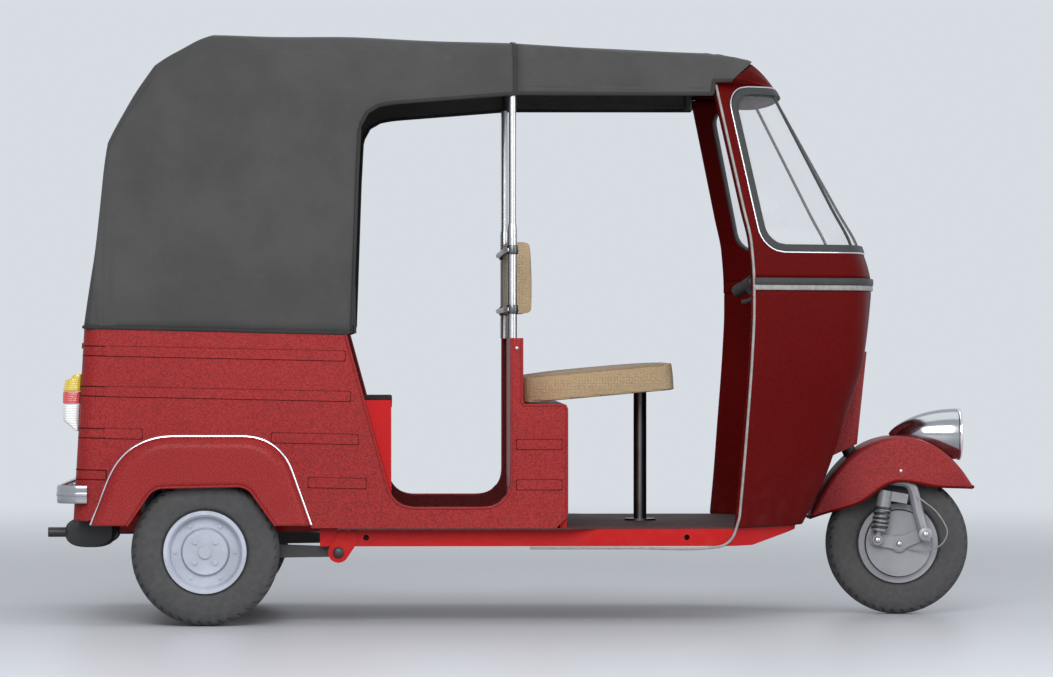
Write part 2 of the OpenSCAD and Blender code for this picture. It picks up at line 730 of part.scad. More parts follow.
module windscreen_frame() {
    color([0.42, 0.06, 0.07]) placed() difference() {
        cowl_wall_between(belt_z + belt_h, cowl_h, 0, cowl_wall);
        pane_bar(0);
    }
}

module windscreen_seal() {
    color([0.3, 0.34, 0.35]) placed() difference() {
        intersection() {
            cowl_wall_between(belt_z + belt_h, cowl_h, -seal_out, cowl_wall + seal_out);
            pane_bar(seam);
        }
        pane_bar(seal_w);
    }
}

module windscreen_glass() {
    color([0.75, 0.85, 0.88, 0.4]) placed() intersection() {
        cowl_wall_between(belt_z + belt_h, cowl_h, (cowl_wall - glass_t) / 2, (cowl_wall + glass_t) / 2);
        pane_bar(seal_w + seam);
    }
}

// Hollow nose over the steering head, open at its foot and closed on top
module column_cover() {
    reach = cowl_x + cowl_l;
    outer = rounded([[-cover_w, -cover_w / 2], [0, -cover_w / 2], [0, cover_w / 2],
        [-cover_w, cover_w / 2]],
        [0, cover_reach, cover_reach, 0], 6);
    inner = [for (p = outer) [p.x - cover_t, p.y * (cover_w - 2 * cover_t) / cover_w]];
    color([0.42, 0.06, 0.07]) placed() difference() {
        translate([reach - cover_t * 3, 0, cover_top]) rotate([0, cover_lean, 0]) difference() {
            translate([0, 0, -cover_top / 2]) linear_extrude(cover_top / 2) polygon(outer);
            translate([0, 0, -cover_top]) linear_extrude(cover_top - cover_t) polygon(inner);
        }
        cowl_filled(cowl_low, belt_z, -seam);
        on_steering() translate([-head_l, -cover_w, -2 * head_l])
            cube([3 * head_l, 2 * cover_w, 2 * head_l + cover_clear]);
    }
}

// Neck outline as shares of [cowl_l ahead of the cowl's rear edge, the steering datum's rise over the floor]
neck_shares = [[0.317, 0], [0.470, 0], [0.600, 0.616], [0.703, 1.193], [0.750, 1.411], [0.672, 1.826],
    [0.524, 1.388]];
neck_w = 56;
module steering_head() {
    color([0.3, 0.3, 0.31]) placed() difference() {
        union() {
            along_stem(head_r, head_low, head_low + head_l);
            xz_bar(neck_w) polygon([for (s = neck_shares)
                [cowl_x + s.x * cowl_l, lerp(floor_z, head_z, s.y)]]);
        }
        along_stem(stem_r + fit, -head_l, 2 * head_l);
    }
}

dash_share = 0.095;
dash_low = lerp(belt_z + belt_h, cowl_h, dash_share);
dash_t = 22;
dash_back = 358;
module dashboard() {
    color([0.2, 0.2, 0.21]) placed() intersection() {
        cowl_filled(dash_low, dash_low + dash_t, cowl_wall + seam);
        translate([cowl_x + dash_back, -half_w, 0]) cube([cowl_l, body_w, roof_z]);
    }
}

// Canopy arches, rear to front: [hem x, ridge x] as shares of the hood's length, ridge height as a share of
// the rise over the waist, corner half-width of the body's, corner drop of crown, radius of shoulder_r
hood_shares = [
    [0.0545, 0.000, 0.000, 1.000, 0.0, 0.40],
    [0.0830, 0.051, 0.620, 0.930, 0.3, 0.65],
    [0.1825, 0.1585, 0.892, 0.902, 0.7, 0.9],
    [0.2980, 0.290, 1.000, 0.892, 1.0, 1.0],
    [0.6120, 0.612, 0.994, 0.884, 1.0, 1.0],
    [1.0000, 1.000, 0.974, 0.876, 1.0, 1.0]];
// Roof's places ahead of the cowl's rear edge and heights over the windscreen's top
roof_mid_back = 19;
roof_front_ahead = 108;
roof_front_rise = 94;
hem_ahead = 46;
hem_rise = 10;
roof_mid_share = 0.6;
// Half-widths of [hem, corner] as shares of the body's, and the front shoulder's radius
roof_mid_shares = [0.878, 0.845];
roof_front_shares = [0.852, 0.79];
front_shoulder_share = 0.7;

// One arch row: [hem x, hem z, hem half-width, ridge x, ridge z, corner half-width, corner drop, radius]
hood_rows = [for (s = hood_shares) let (x = s[0] * hood_l - tail_x)
    [x, waist(x) + seam, half_w, s[1] * hood_l - tail_x, lerp(waist_z + seam, roof_z, s[2]), s[3] * half_w,
    s[4] * crown, s[5] * shoulder_r]];
seam_row = hood_rows[len(hood_rows) - 1];
roof_front_z = cowl_h + roof_front_rise;
roof_mid_z = lerp(seam_row[4], roof_front_z, roof_mid_share);
roof_mid = cowl_x - roof_mid_back;
valance_z = roof_mid_z - roof_side_h;
function valance_w(row) = lerp(row[2], row[5], (valance_z - row[1]) / (row[4] - row[6] - row[1]));
roof_rows = [
    [seam_x + seam, valance_z, valance_w(seam_row), seam_x + seam, seam_row[4], seam_row[5], seam_row[6],
        seam_row[7]],
    [roof_mid, valance_z, half_w * roof_mid_shares[0], roof_mid, roof_mid_z, half_w * roof_mid_shares[1],
        crown, shoulder_r],
    [cowl_x + hem_ahead, cowl_h + hem_rise, half_w * roof_front_shares[0], cowl_x + roof_front_ahead,
        roof_front_z, half_w * roof_front_shares[1], crown, shoulder_r * front_shoulder_share]];

// Longest shoulder arc as a share of the straight side under it
shoulder_limit_share = 0.8;
// Backward lean of the corners, and places of the points on the side and the top
knee_share = 0.15;
side_share = 0.5;
top_shares = [0.33, 0.67];

// Inward direction of the ridge at each row, in XZ
function ridge_in(rows, k) =
    let (a = rows[max(k - 1, 0)], b = rows[min(k + 1, len(rows) - 1)], t = unit([b[3] - a[3], b[4] - a[4]]))
    [t.y, -t.x];

// Arch of row k moved inwards by d, from the right hem over the ridge to the left hem
function arch(rows, k, d) =
    let (row = rows[k], n = ridge_in(rows, k), hem = [row[0], row[2] - d, row[1]],
        top = [row[3] + d * n.x, 0, row[4] + d * n.y], corner = [top.x, row[5] - d, top.z - row[6]],
        share = corner.z > hem.z + over ? 1 : 0,
        knee = [lerp(corner.x, (hem.x + corner.x) / 2, share * knee_share), corner.y, corner.z],
        r = min(row[7], norm(hem - knee) * shoulder_limit_share),
        p = knee + unit(hem - knee) * r, q = knee + unit(top - knee) * r,
        half = concat([hem, lerp(hem, p, side_share)],
            [for (t = [0 : 0.25 : 1]) lerp(lerp(p, knee, t), lerp(knee, q, t), t)],
            [for (t = top_shares) lerp(q, top, t) + [0, 0, row[6] * t * (1 - t) / 2]]))
    concat([for (e = half) [e.x, -e.y, e.z]], [top], flip(half));

module canopy(rows, outer, inner) {
    order = [len(rows) - 1 : -1 : 0];
    sheet_loft([for (k = order) arch(rows, k, outer)], [for (k = order) arch(rows, k, inner)]);
}

// Doorway cut in the hood's sides
hood_door_ahead = 19;
hood_door = door_x + hood_door_ahead;
hood_door_run = 16;
hood_door_drop = 28;
hood_door_z = valance_z - hood_door_drop;
hood_door_r = 100;
// Clear pane in the hood's rear face
rear_pane_w = 620;
rear_pane_rise = 172;
rear_pane_h = 260;
rear_pane_low = waist_z + rear_pane_rise;
rear_pane_high = rear_pane_low + rear_pane_h;
rear_pane_reach_share = 1.5;
rear_pane_r = 40;
module rear_pane(d) {
    translate([-2 * tail_x, 0, 0]) rotate([90, 0, 90]) linear_extrude(rear_pane_reach_share * tail_x)
        polygon(rounded([[d - rear_pane_w / 2, rear_pane_low + d], [rear_pane_w / 2 - d, rear_pane_low + d],
            [rear_pane_w / 2 - d, rear_pane_high - d], [d - rear_pane_w / 2, rear_pane_high - d]],
                rear_pane_r));
}

module hood_canopy() {
    color([0.33, 0.33, 0.34]) placed() difference() {
        canopy(hood_rows, 0, fabric_t);
        xz_bar(body_w + over) polygon(rounded([[hood_door, waist_z - 2 * over],
            [hood_door + hood_door_run, hood_door_z],
            [seam_x + over, valance_z], [seam_x + over, waist_z - 2 * over]], [0, hood_door_r, 0, 0], 6));
        rear_pane(0);
    }
}

module rear_window() {
    color([0.8, 0.84, 0.85, 0.5]) placed() intersection() {
        canopy(hood_rows, fabric_t / 4, 3 * fabric_t / 4);
        rear_pane(seam);
    }
}

module roof_canopy() {
    color([0.33, 0.33, 0.34]) placed() canopy(roof_rows, 0, fabric_t);
}

// Brow between the windscreen's top edge and the canopy's front edge
brow_bulge = [16, 12];
module header_panel() {
    last = len(roof_rows) - 1;
    function rows(plan_d, arch_d) = let (
        low = cowl_line(cowl_h + seam, plan_d), high = [for (p = arch(roof_rows, last, arch_d))
            p + [2 * seam, 0, seam - arch_d / 2]],
        m = [for (i = [0 : len(low) - 1]) (low[i] + high[i]) / 2
            + (1 - pow(abs(low[i].y) / half_w, 2)) * [brow_bulge.x, 0, brow_bulge.y]])
        [high, m, low];
    color([0.42, 0.06, 0.07]) placed() sheet_loft(rows(0, 0), rows(cowl_wall, cowl_wall));
}

bow_rows = [2, 3, 4];
bow_lift = 1.5;
bow_gap = fabric_t + bow_r + seam;
rail_rows = 8;
module hood_bows() {
    color([0.45, 0.45, 0.46]) placed() {
        for (k = bow_rows) {
            path = arch(hood_rows, k, bow_gap);
            tube([for (i = [0 : len(path) - 1]) i == 0 || i == len(path) - 1 ? path[i] + [0, 0,
                bow_lift] : path[i]],
                bow_r, rail_rows, [1, 0, 0]);
        }
        for (k = [0, 1]) tube(arch(roof_rows, k, bow_gap), bow_r, rail_rows, [1, 0, 0]);
    }
}

// Partition and seats
pole_r = 10.25;
pole_y = valance_w(seam_row) - bow_gap;
pole_ahead = 4;
pole_x = post_x + pole_ahead;
bar_r = 7.5;
bar_x = pole_x - pole_r - bar_r - seam;
bar_rises = [81, 249];
bar_over = 14;
module partition_frame() {
    color([0.6, 0.6, 0.62]) placed() {
        both_sides() translate([pole_x, pole_y, post_z])
            cylinder(r = pole_r, h = valance_z - post_z - bow_lift);
        for (z = bar_rises) translate([bar_x, -pole_y - bar_over, post_z + z]) rotate([-90, 0, 0])
            cylinder(r = bar_r, h = 2 * (pole_y + bar_over));
    }
}

panel_t = 18;
module driver_bulkhead() {
    x = post_x + post_w;
    color([0.78, 0.1, 0.11]) placed() xz_bar(body_w - 2 * wall - 2 * seam)
        polygon([[x - panel_t, floor_z], [x, floor_z], [x, box_z - panel_t],
            [box_x - panel_t, box_z - panel_t],
            [box_x - panel_t, floor_z], [box_x, floor_z], [box_x, box_z], [x, box_z], [x, post_z],
                [x - panel_t, post_z]]);
}

seat_gap = 10;
seat_x = post_x + post_w + seat_gap;
cushion_r = 30;

// Block with an upright rounded outline, w wide and l deep from x = 0, t thick
module pad(l, w, t, r) {
    linear_extrude(t) polygon(rounded([[0, -w / 2], [l, -w / 2], [l, w / 2], [0, w / 2]], r, 6));
}

module driver_cushion() {
    color([0.75, 0.65, 0.47]) placed() translate([seat_x, 0, box_z + 2 * seam]) rotate([0, -seat_tilt, 0])
        pad(seat_l, seat_w, seat_t, cushion_r);
}

post_r = 19;
post_at_share = 0.8;
post_foot_r = 46;
post_foot_h = 6;
module seat_post() {
    x = seat_x + post_at_share * seat_l * cos(seat_tilt);
    under = box_z + (post_at_share * seat_l * cos(seat_tilt) - post_r) * tan(seat_tilt);
    color([0.25, 0.25, 0.26]) placed() translate([x, 0, floor_z]) {
        cylinder(r = post_r, h = under - floor_z);
        cylinder(r = post_foot_r, h = post_foot_h);
    }
}

back_rise = 67;
back_h = 211;
back_low = post_z + back_rise;
back_high = back_low + back_h;
back_t = 74;
back_taper_share = 0.94;
module driver_backrest() {
    x = bar_x + bar_r + seam;
    color([0.75, 0.65, 0.47]) placed() xz_bar(seat_w)
        polygon(rounded([[x, back_low], [x + back_t, back_low],
            [x + back_t * back_taper_share, back_high], [x, back_high]],
            [0, panel_t, panel_t, 0]));
}

deck_gap = 4;
module rear_tub() {
    rear = corner_r + deck_gap - tail_x;
    color([0.72, 0.09, 0.1]) placed() {
        xz_bar(body_w - 2 * wall - 2 * seam) polygon([[bench_x, floor_z], [bench_x, bench_z],
            [rear, bench_z],
            [rear, bench_z - panel_t], [bench_x - panel_t, bench_z - panel_t],
                [bench_x - panel_t, floor_z]]);
        both_sides() xz_plate(half_w - wall - seam - panel_t, panel_t)
            polygon([[rail_x, floor_z], [bench_x, floor_z], [bench_x, bench_z], [rail_x, bench_z]]);
    }
}

bench_gap = 50;
bench_w = body_w - 2 * wall - 2 * bench_gap;
module passenger_cushion() {
    color([0.72, 0.62, 0.45]) placed() translate([0, 0, bench_z + seam])
        pad(cushion_l, bench_w, cushion_t, cushion_r);
}

rest_h = 517;
rest_t = 100;
rest_lean = 8;
module passenger_backrest() {
    color([0.72, 0.62, 0.45]) placed() xz_bar(bench_w)
        polygon(rounded([[-seam, bench_z + seam], [-rest_t, bench_z + seam],
            [-rest_t - rest_h * tan(rest_lean), bench_z + rest_h],
                [-rest_t / 4 - rest_h * tan(rest_lean), bench_z + rest_h]],
            [0, 0, rest_t / 4, rest_t / 4]));
}

// Engine and rear running gear
engine_back = 200;
engine_l = 360;
engine_drop = 38;
engine_low = axle_z - engine_drop;
engine_h = 280;
engine_cut = 30;
module engine_block() {
    w = 2 * cradle_y - 2 * seam;
    color([0.35, 0.35, 0.36]) placed() translate([-engine_back, 0, 0]) xz_bar(w)
        polygon(rounded([[0, engine_low], [engine_l, engine_low], [engine_l, engine_low + engine_h],
            [0, engine_low + engine_h]], engine_cut, 3));
}

pipe_r = 13.5;
muffler_r = 40;
muffler_ahead = 18;
muffler_x = muffler_ahead - tail_x;
muffler_z = 254;
muffler_y = -330;
muffler_l = 300;
muffler_end = 10;
pipe_reach = 116;
tail_reach = tail_x + pipe_reach;
inlet_y = -150;
module silencer() {
    color([0.12, 0.12, 0.12]) placed() {
        translate([muffler_x, muffler_y - muffler_r, muffler_z]) rotate([-90, 0, 0]) rotate_extrude()
            polygon([[0, 0], [muffler_r - muffler_end, 0], [muffler_r, muffler_end],
                [muffler_r, muffler_l - muffler_end],
                [muffler_r - muffler_end, muffler_l], [0, muffler_l]]);
        translate([-tail_reach, muffler_y, muffler_z]) rotate([0, 90, 0])
            cylinder(r = pipe_r, h = tail_reach + muffler_x);
        translate([muffler_x, inlet_y, muffler_z]) rotate([0, 90, 0])
            cylinder(r = pipe_r, h = -engine_back - muffler_x - seam);
    }
}

arm_h = 46;
arm_end_r = 14;
drum_r = 96;
drum_t = 14;
drum_gap = 8;
carrier_r = 44;
damper_x = -150;
module trailing_arms() {
    drum_y = track / 2 - rim_w / 2 - drum_gap;
    color([0.12, 0.12, 0.13]) placed() both_sides() difference() {
        union() {
            xz_plate(arm_y, arm_t) polygon(concat(arc([pivot_x, pivot_z], arm_end_r, -90, 90, 10),
                [[carrier_r, axle_z + arm_h / 2], [damper_x - arm_h / 2, axle_z + arm_h / 2],
                [damper_x - arm_h / 2, axle_z - arm_h / 2], [carrier_r, axle_z - arm_h / 2]]));
            translate([0, arm_y - arm_t, axle_z]) rotate([-90, 0, 0])
                cylinder(r = carrier_r, h = drum_y - arm_y + arm_t);
            translate([0, drum_y - drum_t, axle_z]) rotate([-90, 0, 0]) cylinder(r = drum_r, h = drum_t);
        }
        translate([0, 0, axle_z]) rotate([-90, 0, 0]) cylinder(r = shaft_r + seam, h = track);
        translate([pivot_x, 0, pivot_z]) rotate([-90, 0, 0]) cylinder(r = pivot_r + seam, h = track);
    }
}

module drive_shafts() {
    color([0.4, 0.4, 0.42]) placed() both_sides() translate([0, cradle_y + seam, axle_z])
        rotate([-90, 0, 0])
        cylinder(r = shaft_r, h = track / 2 + rim_face - 2 * rim_wall - cradle_y - 2 * seam);
}

damper_r = 24;
damper_rod_r = 11;
// Start and length of the coils, of the damper's length
coil_shares = [0.2, 0.6];
damper_top = bench_z - panel_t - seam;
module rear_dampers() {
    low = axle_z + arm_h / 2 + seam;
    color([0.1, 0.1, 0.1]) placed() both_sides() translate([damper_x, arm_y + arm_t / 2, low]) {
        cylinder(r = damper_rod_r, h = damper_top - low);
        translate([0, 0, (damper_top - low) * coil_shares[0]])
            cylinder(r = damper_r, h = (damper_top - low) * coil_shares[1]);
    }
}

bumper_low = 344;
bumper_h = 51;
bumper_t = 12;
bumper_out = 77;
bumper_lap = 15;
bumper_side = 22;
bumper_reach = tail_x + bumper_out;
bumper_wrap = tail_x - bumper_lap;
bumper_y = half_w + bumper_side;
bumper_r = 60;
stay_w = 40;
stay_y_share = 0.6;
module rear_bumper() {
    path = rounded([[-bumper_wrap, -bumper_y], [-bumper_reach, -bumper_y], [-bumper_reach, bumper_y],
        [-bumper_wrap, bumper_y]],
        [0, bumper_r, bumper_r, 0], 8);
    color([0.8, 0.82, 0.84]) placed() difference() {
        union() {
            translate([0, 0, bumper_low]) linear_extrude(bumper_h)
                polygon(concat(path, flip(shifted(path, -bumper_t))));
            both_sides() translate([-bumper_reach + bumper_t / 2, stay_y_share * half_w - stay_w / 2,
                bumper_low + bumper_h / 4])
                cube([bumper_reach - tail_x, stay_w, bumper_h / 2]);
        }
        on_tail() translate([-seam, -half_w, -2 * tail_h]) cube([over * 4, body_w, 2 * tail_h]);
    }
}

tail_lamp_inset = 90;
tail_lamp_y = half_w - tail_lamp_inset;
tail_lamp_w = 70;
tail_lamp_out = 58;
tail_lamp_top = 135;
tail_lamp_h = 158;
lamp_knee_share = 0.72;
lamp_foot_share = 0.4;
module tail_lamps() {
    z = -tail_lamp_top;
    color([0.8, 0.15, 0.1]) placed() on_tail() both_sides()
        xz_plate(tail_lamp_y - tail_lamp_w / 2, tail_lamp_w)
        polygon(rounded([[-seam, z], [-tail_lamp_out, z],
            [-tail_lamp_out, z - tail_lamp_h * lamp_knee_share],
            [-tail_lamp_out * lamp_foot_share, z - tail_lamp_h],
            [-seam, z - tail_lamp_h]], [0, swage_h / 3, swage_h / 3, swage_h / 3, 0]));
}

// Front fork
crown_low = -66;
crown_high = -30;
crown_half = 30;
crown_side = 46;
collar_t = 8;
module fork_stem() {
    color([0.15, 0.15, 0.16]) placed() on_steering() {
        translate([0, 0, crown_low]) cylinder(r = stem_r, h = stem_top - crown_low);
        translate([-crown_half, -crown_side, crown_low])
            cube([2 * crown_half, crown_side + crown_half, crown_high - crown_low]);
        translate([0, 0, head_low + head_l + seam]) cylinder(r = head_r, h = collar_t);
    }
}

// Leg's path from the crown to the link's pivot, each point measured from the front axle
leg_r = 16;
leg_y = -98.5;
link_pivot = [72, 29];
leg_knee = [30, 173];
leg_foot = 22;
pin_r = 9;
pin_over_share = 1.5;
leg_start = steering_point([0, -crown_side - seam, (crown_low + crown_high) / 2]);
function from_axle(x, y, z) = [front_x + x, y, axle_z + z];
leg_out = leg_start - [0, leg_r / 4, 0];
leg_path = concat([leg_start], smooth([leg_out, leg_out - [0, leg_r, 0],
    from_axle(-leg_knee.x, leg_y, leg_knee.y + leg_r),
    from_axle(leg_knee.x, leg_y, leg_knee.y), from_axle((leg_knee.x + link_pivot.x) / 2, leg_y,
        (leg_knee.y + link_pivot.y) / 2),
    from_axle(link_pivot.x + leg_foot / 4, leg_y, link_pivot.y - leg_foot)], 4));
mount_h = 28;
module fork_leg() {
    color([0.1, 0.1, 0.1]) placed() difference() {
        tube(leg_path, leg_r, 10, [0, 1, 0.3]);
        translate(from_axle(link_pivot.x, leg_y - 2 * leg_r, link_pivot.y)) rotate([-90, 0, 0])
            cylinder(r = pin_r + seam, h = 4 * leg_r);
    }
}

// Link between the leg's pivot, the axle and the damper's foot, with the brake's back plate and the stub axle
link_t = 14;
link_y = -82;
link_end_r = 20;
link_bar_share = 0.9;
damper_foot = [-66, 12];
plate_r = 96;
plate_t = 10;
module trailing_link() {
    points = [link_pivot, [0, 0], damper_foot];
    color([0.12, 0.12, 0.13]) placed() translate([front_x, 0, axle_z]) {
        for (i = [0 : 1]) let (a = points[i], b = points[i + 1],
            n = unit([a.y - b.y, b.x - a.x]) * link_end_r * link_bar_share)
            xz_plate(link_y, link_t) polygon([a + n, b + n, b - n, a - n]);
        for (p = points) translate([p.x, link_y, p.y]) rotate([-90, 0, 0])
            cylinder(r = link_end_r, h = link_t);
        translate([link_pivot.x, leg_y - pin_over_share * leg_r, link_pivot.y]) rotate([-90, 0, 0])
            cylinder(r = pin_r, h = link_y + link_t - leg_y + pin_over_share * leg_r);
        translate([damper_foot.x, leg_y - pin_r, damper_foot.y]) rotate([-90, 0, 0])
            cylinder(r = pin_r, h = link_y + link_t - leg_y + pin_r);
        translate([0, link_y + link_t, 0]) rotate([-90, 0, 0]) cylinder(r = plate_r, h = plate_t);
        translate([0, link_y + link_t, 0]) rotate([-90, 0, 0])
            cylinder(r = stub_r, h = front_face - rim_wall * 2 - link_y - link_t);
    }
}

// Damper between the link and the leg: eye, spring coils and upper sleeve along its axis
spring_r = 23;
spring_wire = 5;
spring_low = 32;
spring_turns = 6;
spring_pitch = 11;
sleeve_r = 21;
sleeve_top = 146;
eye_r = 15;
eye_low = 12;
damper_lean = 10;
module front_damper() {
    spring_top = spring_low + spring_turns * spring_pitch;
    color([0.1, 0.1, 0.1]) placed() translate(from_axle(damper_foot.x, leg_y, damper_foot.y)) {
        difference() {
            union() {
                translate([0, -pin_r, 0]) rotate([-90, 0, 0]) cylinder(r = eye_r, h = 2 * pin_r);
                rotate([0, damper_lean, 0]) rotate_extrude()
                    polygon(concat([[0, eye_low], [pin_r, eye_low], [pin_r, spring_low - spring_wire],
                    [spring_r, spring_low - spring_wire]],
                    [for (i = [0 : spring_turns - 1]) each [[spring_r, spring_low + i * spring_pitch],
                        [spring_r, spring_low + i * spring_pitch + spring_wire],
                            [spring_r - spring_wire, spring_low + i * spring_pitch + spring_wire],
                        [spring_r - spring_wire, spring_low + (i + 1) * spring_pitch]]],
                    [[sleeve_r, spring_top], [sleeve_r, sleeve_top], [0, sleeve_top]]));
            }
            translate([0, -leg_r, 0]) rotate([-90, 0, 0]) cylinder(r = pin_r + seam, h = 2 * leg_r);
        }
        rotate([0, damper_lean, 0]) translate([0, -pin_r, sleeve_top - mount_h])
            cube([-damper_foot.x, 2 * pin_r, mount_h]);
    }
}

// Front mudguard: a loft of channel sections round the front axle
function guard_radius(a) = guard_r + guard_crown * pow(cos(a), 4);
// Angle of the skirt's deepest place, in degrees
guard_middle_angle = -10;
guard_end_share = 0.52;
guard_taper_power = 3;
function guard_fade(a) = 1 - pow(min(abs((a - guard_middle_angle) / (guard_rear + guard_middle_angle)),
    1), guard_taper_power);
guard_edge = 12;
guard_steps = 22;

// Half section as shares of [half-width, skirt depth, edge rounding]
guard_shares = [[1.0, 1.0, 0], [1.0, 0.5, 0.5], [0.99, 0, 1.0], [0.92, 0, 0.4], [0.75, 0, 0.1],
    [0.4, 0, 0.02]];
function guard_line(a, d) =
    let (f = guard_fade(a), w = guard_w * lerp(guard_end_share, 1, f) - d, s = guard_skirt * f,
        r = guard_radius(a) - d,
        half = [for (g = guard_shares) [w * g[0], r - s * g[1] - guard_edge * g[2]]],
        section = concat([for (p = half) [-p.x, p.y]], [[0, r]], flip(half)))
    [for (p = section) from_axle(p.y * sin(a), p.x, p.y * cos(a))];
guard_angles = [for (i = [0 : guard_steps]) lerp(guard_front, -guard_rear, i / guard_steps)];
guard_tip = guard_radius(guard_front) * sin(guard_front);
middle_x = (front_x + guard_tip - tail_reach) / 2;

module front_mudguard() {
    color([0.42, 0.06, 0.07]) placed() difference() {
        sheet_loft([for (a = guard_angles) guard_line(a, 0)],
            [for (a = guard_angles) guard_line(a, guard_t)]);
        along_stem(stem_r + seam, crown_high, 0);
    }
}

// Headlamp: a teardrop that sits on the mudguard
lamp_wall = 3;
lamp_steps = 14;
lamp_power = 2.1;
lamp_round_power = 0.75;
lamp_rim = 8;
lens_t = 5;
lens_dome = 11;
function lamp_profile(d) = [for (i = [0 : lamp_steps]) let (t = i / lamp_steps)
    [max(lamp_r * pow(1 - pow(t, lamp_power), lamp_round_power) - d, 0), -(lamp_l - d) * t]];
module on_lamp() {
    translate([front_x + lamp_x, 0, lamp_z]) rotate([0, 90, 0]) children();
}
module headlamp_shell() {
    color([0.85, 0.87, 0.9]) placed() difference() {
        on_lamp() difference() {
            rotate_extrude() polygon(concat([[0, 0], [lamp_r - lamp_rim, 0],
                [lamp_r - lamp_rim, lamp_rim], [lamp_r, lamp_rim]], lamp_profile(0)));
            rotate_extrude() polygon(concat([[0, over], [lamp_r - lamp_rim - lamp_wall, over],
                [lamp_r - lamp_rim - lamp_wall, 0]],
                [for (p = lamp_profile(lamp_wall)) if (p.y < 0) p]));
        }
        xz_bar(2 * guard_w) polygon(concat([[front_x, axle_z]],
            [for (a = guard_angles) if (a > guard_middle_angle * 2)
            [front_x + (guard_radius(a) + seam) * sin(a), axle_z + (guard_radius(a) + seam) * cos(a)]]));
    }
}

module headlamp_lens() {
    color([0.9, 0.93, 0.95, 0.6]) placed() on_lamp() rotate_extrude()
        polygon(concat([[0, lamp_rim - lens_t]], [for (t = [1 : -0.125 : 0])
            [(lamp_r - lamp_rim - seam) * t, lamp_rim - lens_t + seam + lens_t + lens_dome * (1 - t * t)]]));
}

// Handlebar path in the steering frame, from the middle to one end, as shares of the bar's reach
bar_reach = [80, 300, 62];
bar_tube_r = 11;
grip_r = 17;
bar_shares = [[0, 0, 0], [-0.08, 0.22, 0.05], [0, 0.5, 0.6], [0.42, 0.74, 0.95]];
tip_share = 0.82;
grip_limit_share = 0.98;
module handlebar() {
    base = [0, 0, stem_top + bar_tube_r + seam];
    tip = [-bar_reach.x, bar_reach.y, bar_reach.z * tip_share];
    corners = [for (s = bar_shares) [-s.x * bar_reach.x, s.y * bar_reach.y, s.z * bar_reach.z]];
    before = corners[len(corners) - 1];
    start = tip + unit(before - tip) * min(grip_l, norm(before - tip) * grip_limit_share);
    bends = smooth(corners, 3);
    half = concat(bends, [start, start + unit(tip - start) * bar_tube_r / 4, tip]);
    thick = concat([for (p = bends) bar_tube_r], [bar_tube_r, grip_r, grip_r]);
    tail = len(half) - 1;
    path = concat([for (i = [tail : -1 : 1]) [half[i].x, -half[i].y, half[i].z]], half);
    radii = concat([for (i = [tail : -1 : 1]) thick[i]], thick);
    color([0.15, 0.15, 0.16]) placed() on_steering() translate(base) tube(path, radii, 10, [1, 0, 0.2]);
}

// Brake cable from the leg to the back plate's lever
cable_r = 2;
cable_route = [[48.1, -115.8, 139.3], [70, -123, 122], [100, -124, 98], [124, -122, 66], [136, -118, 38],
    [128, -110, 8], [102, -98, -14],
    [60, -84, -20], [25, -70.15, -17]];
module brake_cable() {
    color([0.08, 0.08, 0.08]) placed() tube(smooth([for (p = cable_route) from_axle(p.x, p.y, p.z)], 3),
        cable_r, 8, [0.2, 1, 0.1]);
}

chassis_frame();
floor_pan();
side_panel_right();
side_panel_left();
rear_panel();
engine_lid();
wheel_flares();
cowl_lower();
belt_moulding();
windscreen_frame();
windscreen_seal();
windscreen_glass();
header_panel();
column_cover();
steering_head();
dashboard();
hood_canopy();
rear_window();
roof_canopy();
hood_bows();
partition_frame();
driver_bulkhead();
driver_backrest();
driver_cushion();
seat_post();
rear_tub();
passenger_cushion();
passenger_backrest();
engine_block();
silencer();
trailing_arms();
drive_shafts();
rear_dampers();
rear_bumper();
tail_lamps();
rear_tyre_right();
rear_rim_right();
rear_tyre_left();
rear_rim_left();
fork_stem();
fork_leg();
trailing_link();
front_damper();
front_mudguard();
headlamp_shell();
headlamp_lens();
handlebar();
brake_cable();
front_tyre();
front_rim();
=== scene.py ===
"""Looks of an auto rickshaw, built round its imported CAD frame.

Metres, +X forwards, +Z up, ground at 0. Shapes are worked out from the rear axle and moved into the frame.
"""
import json
import math

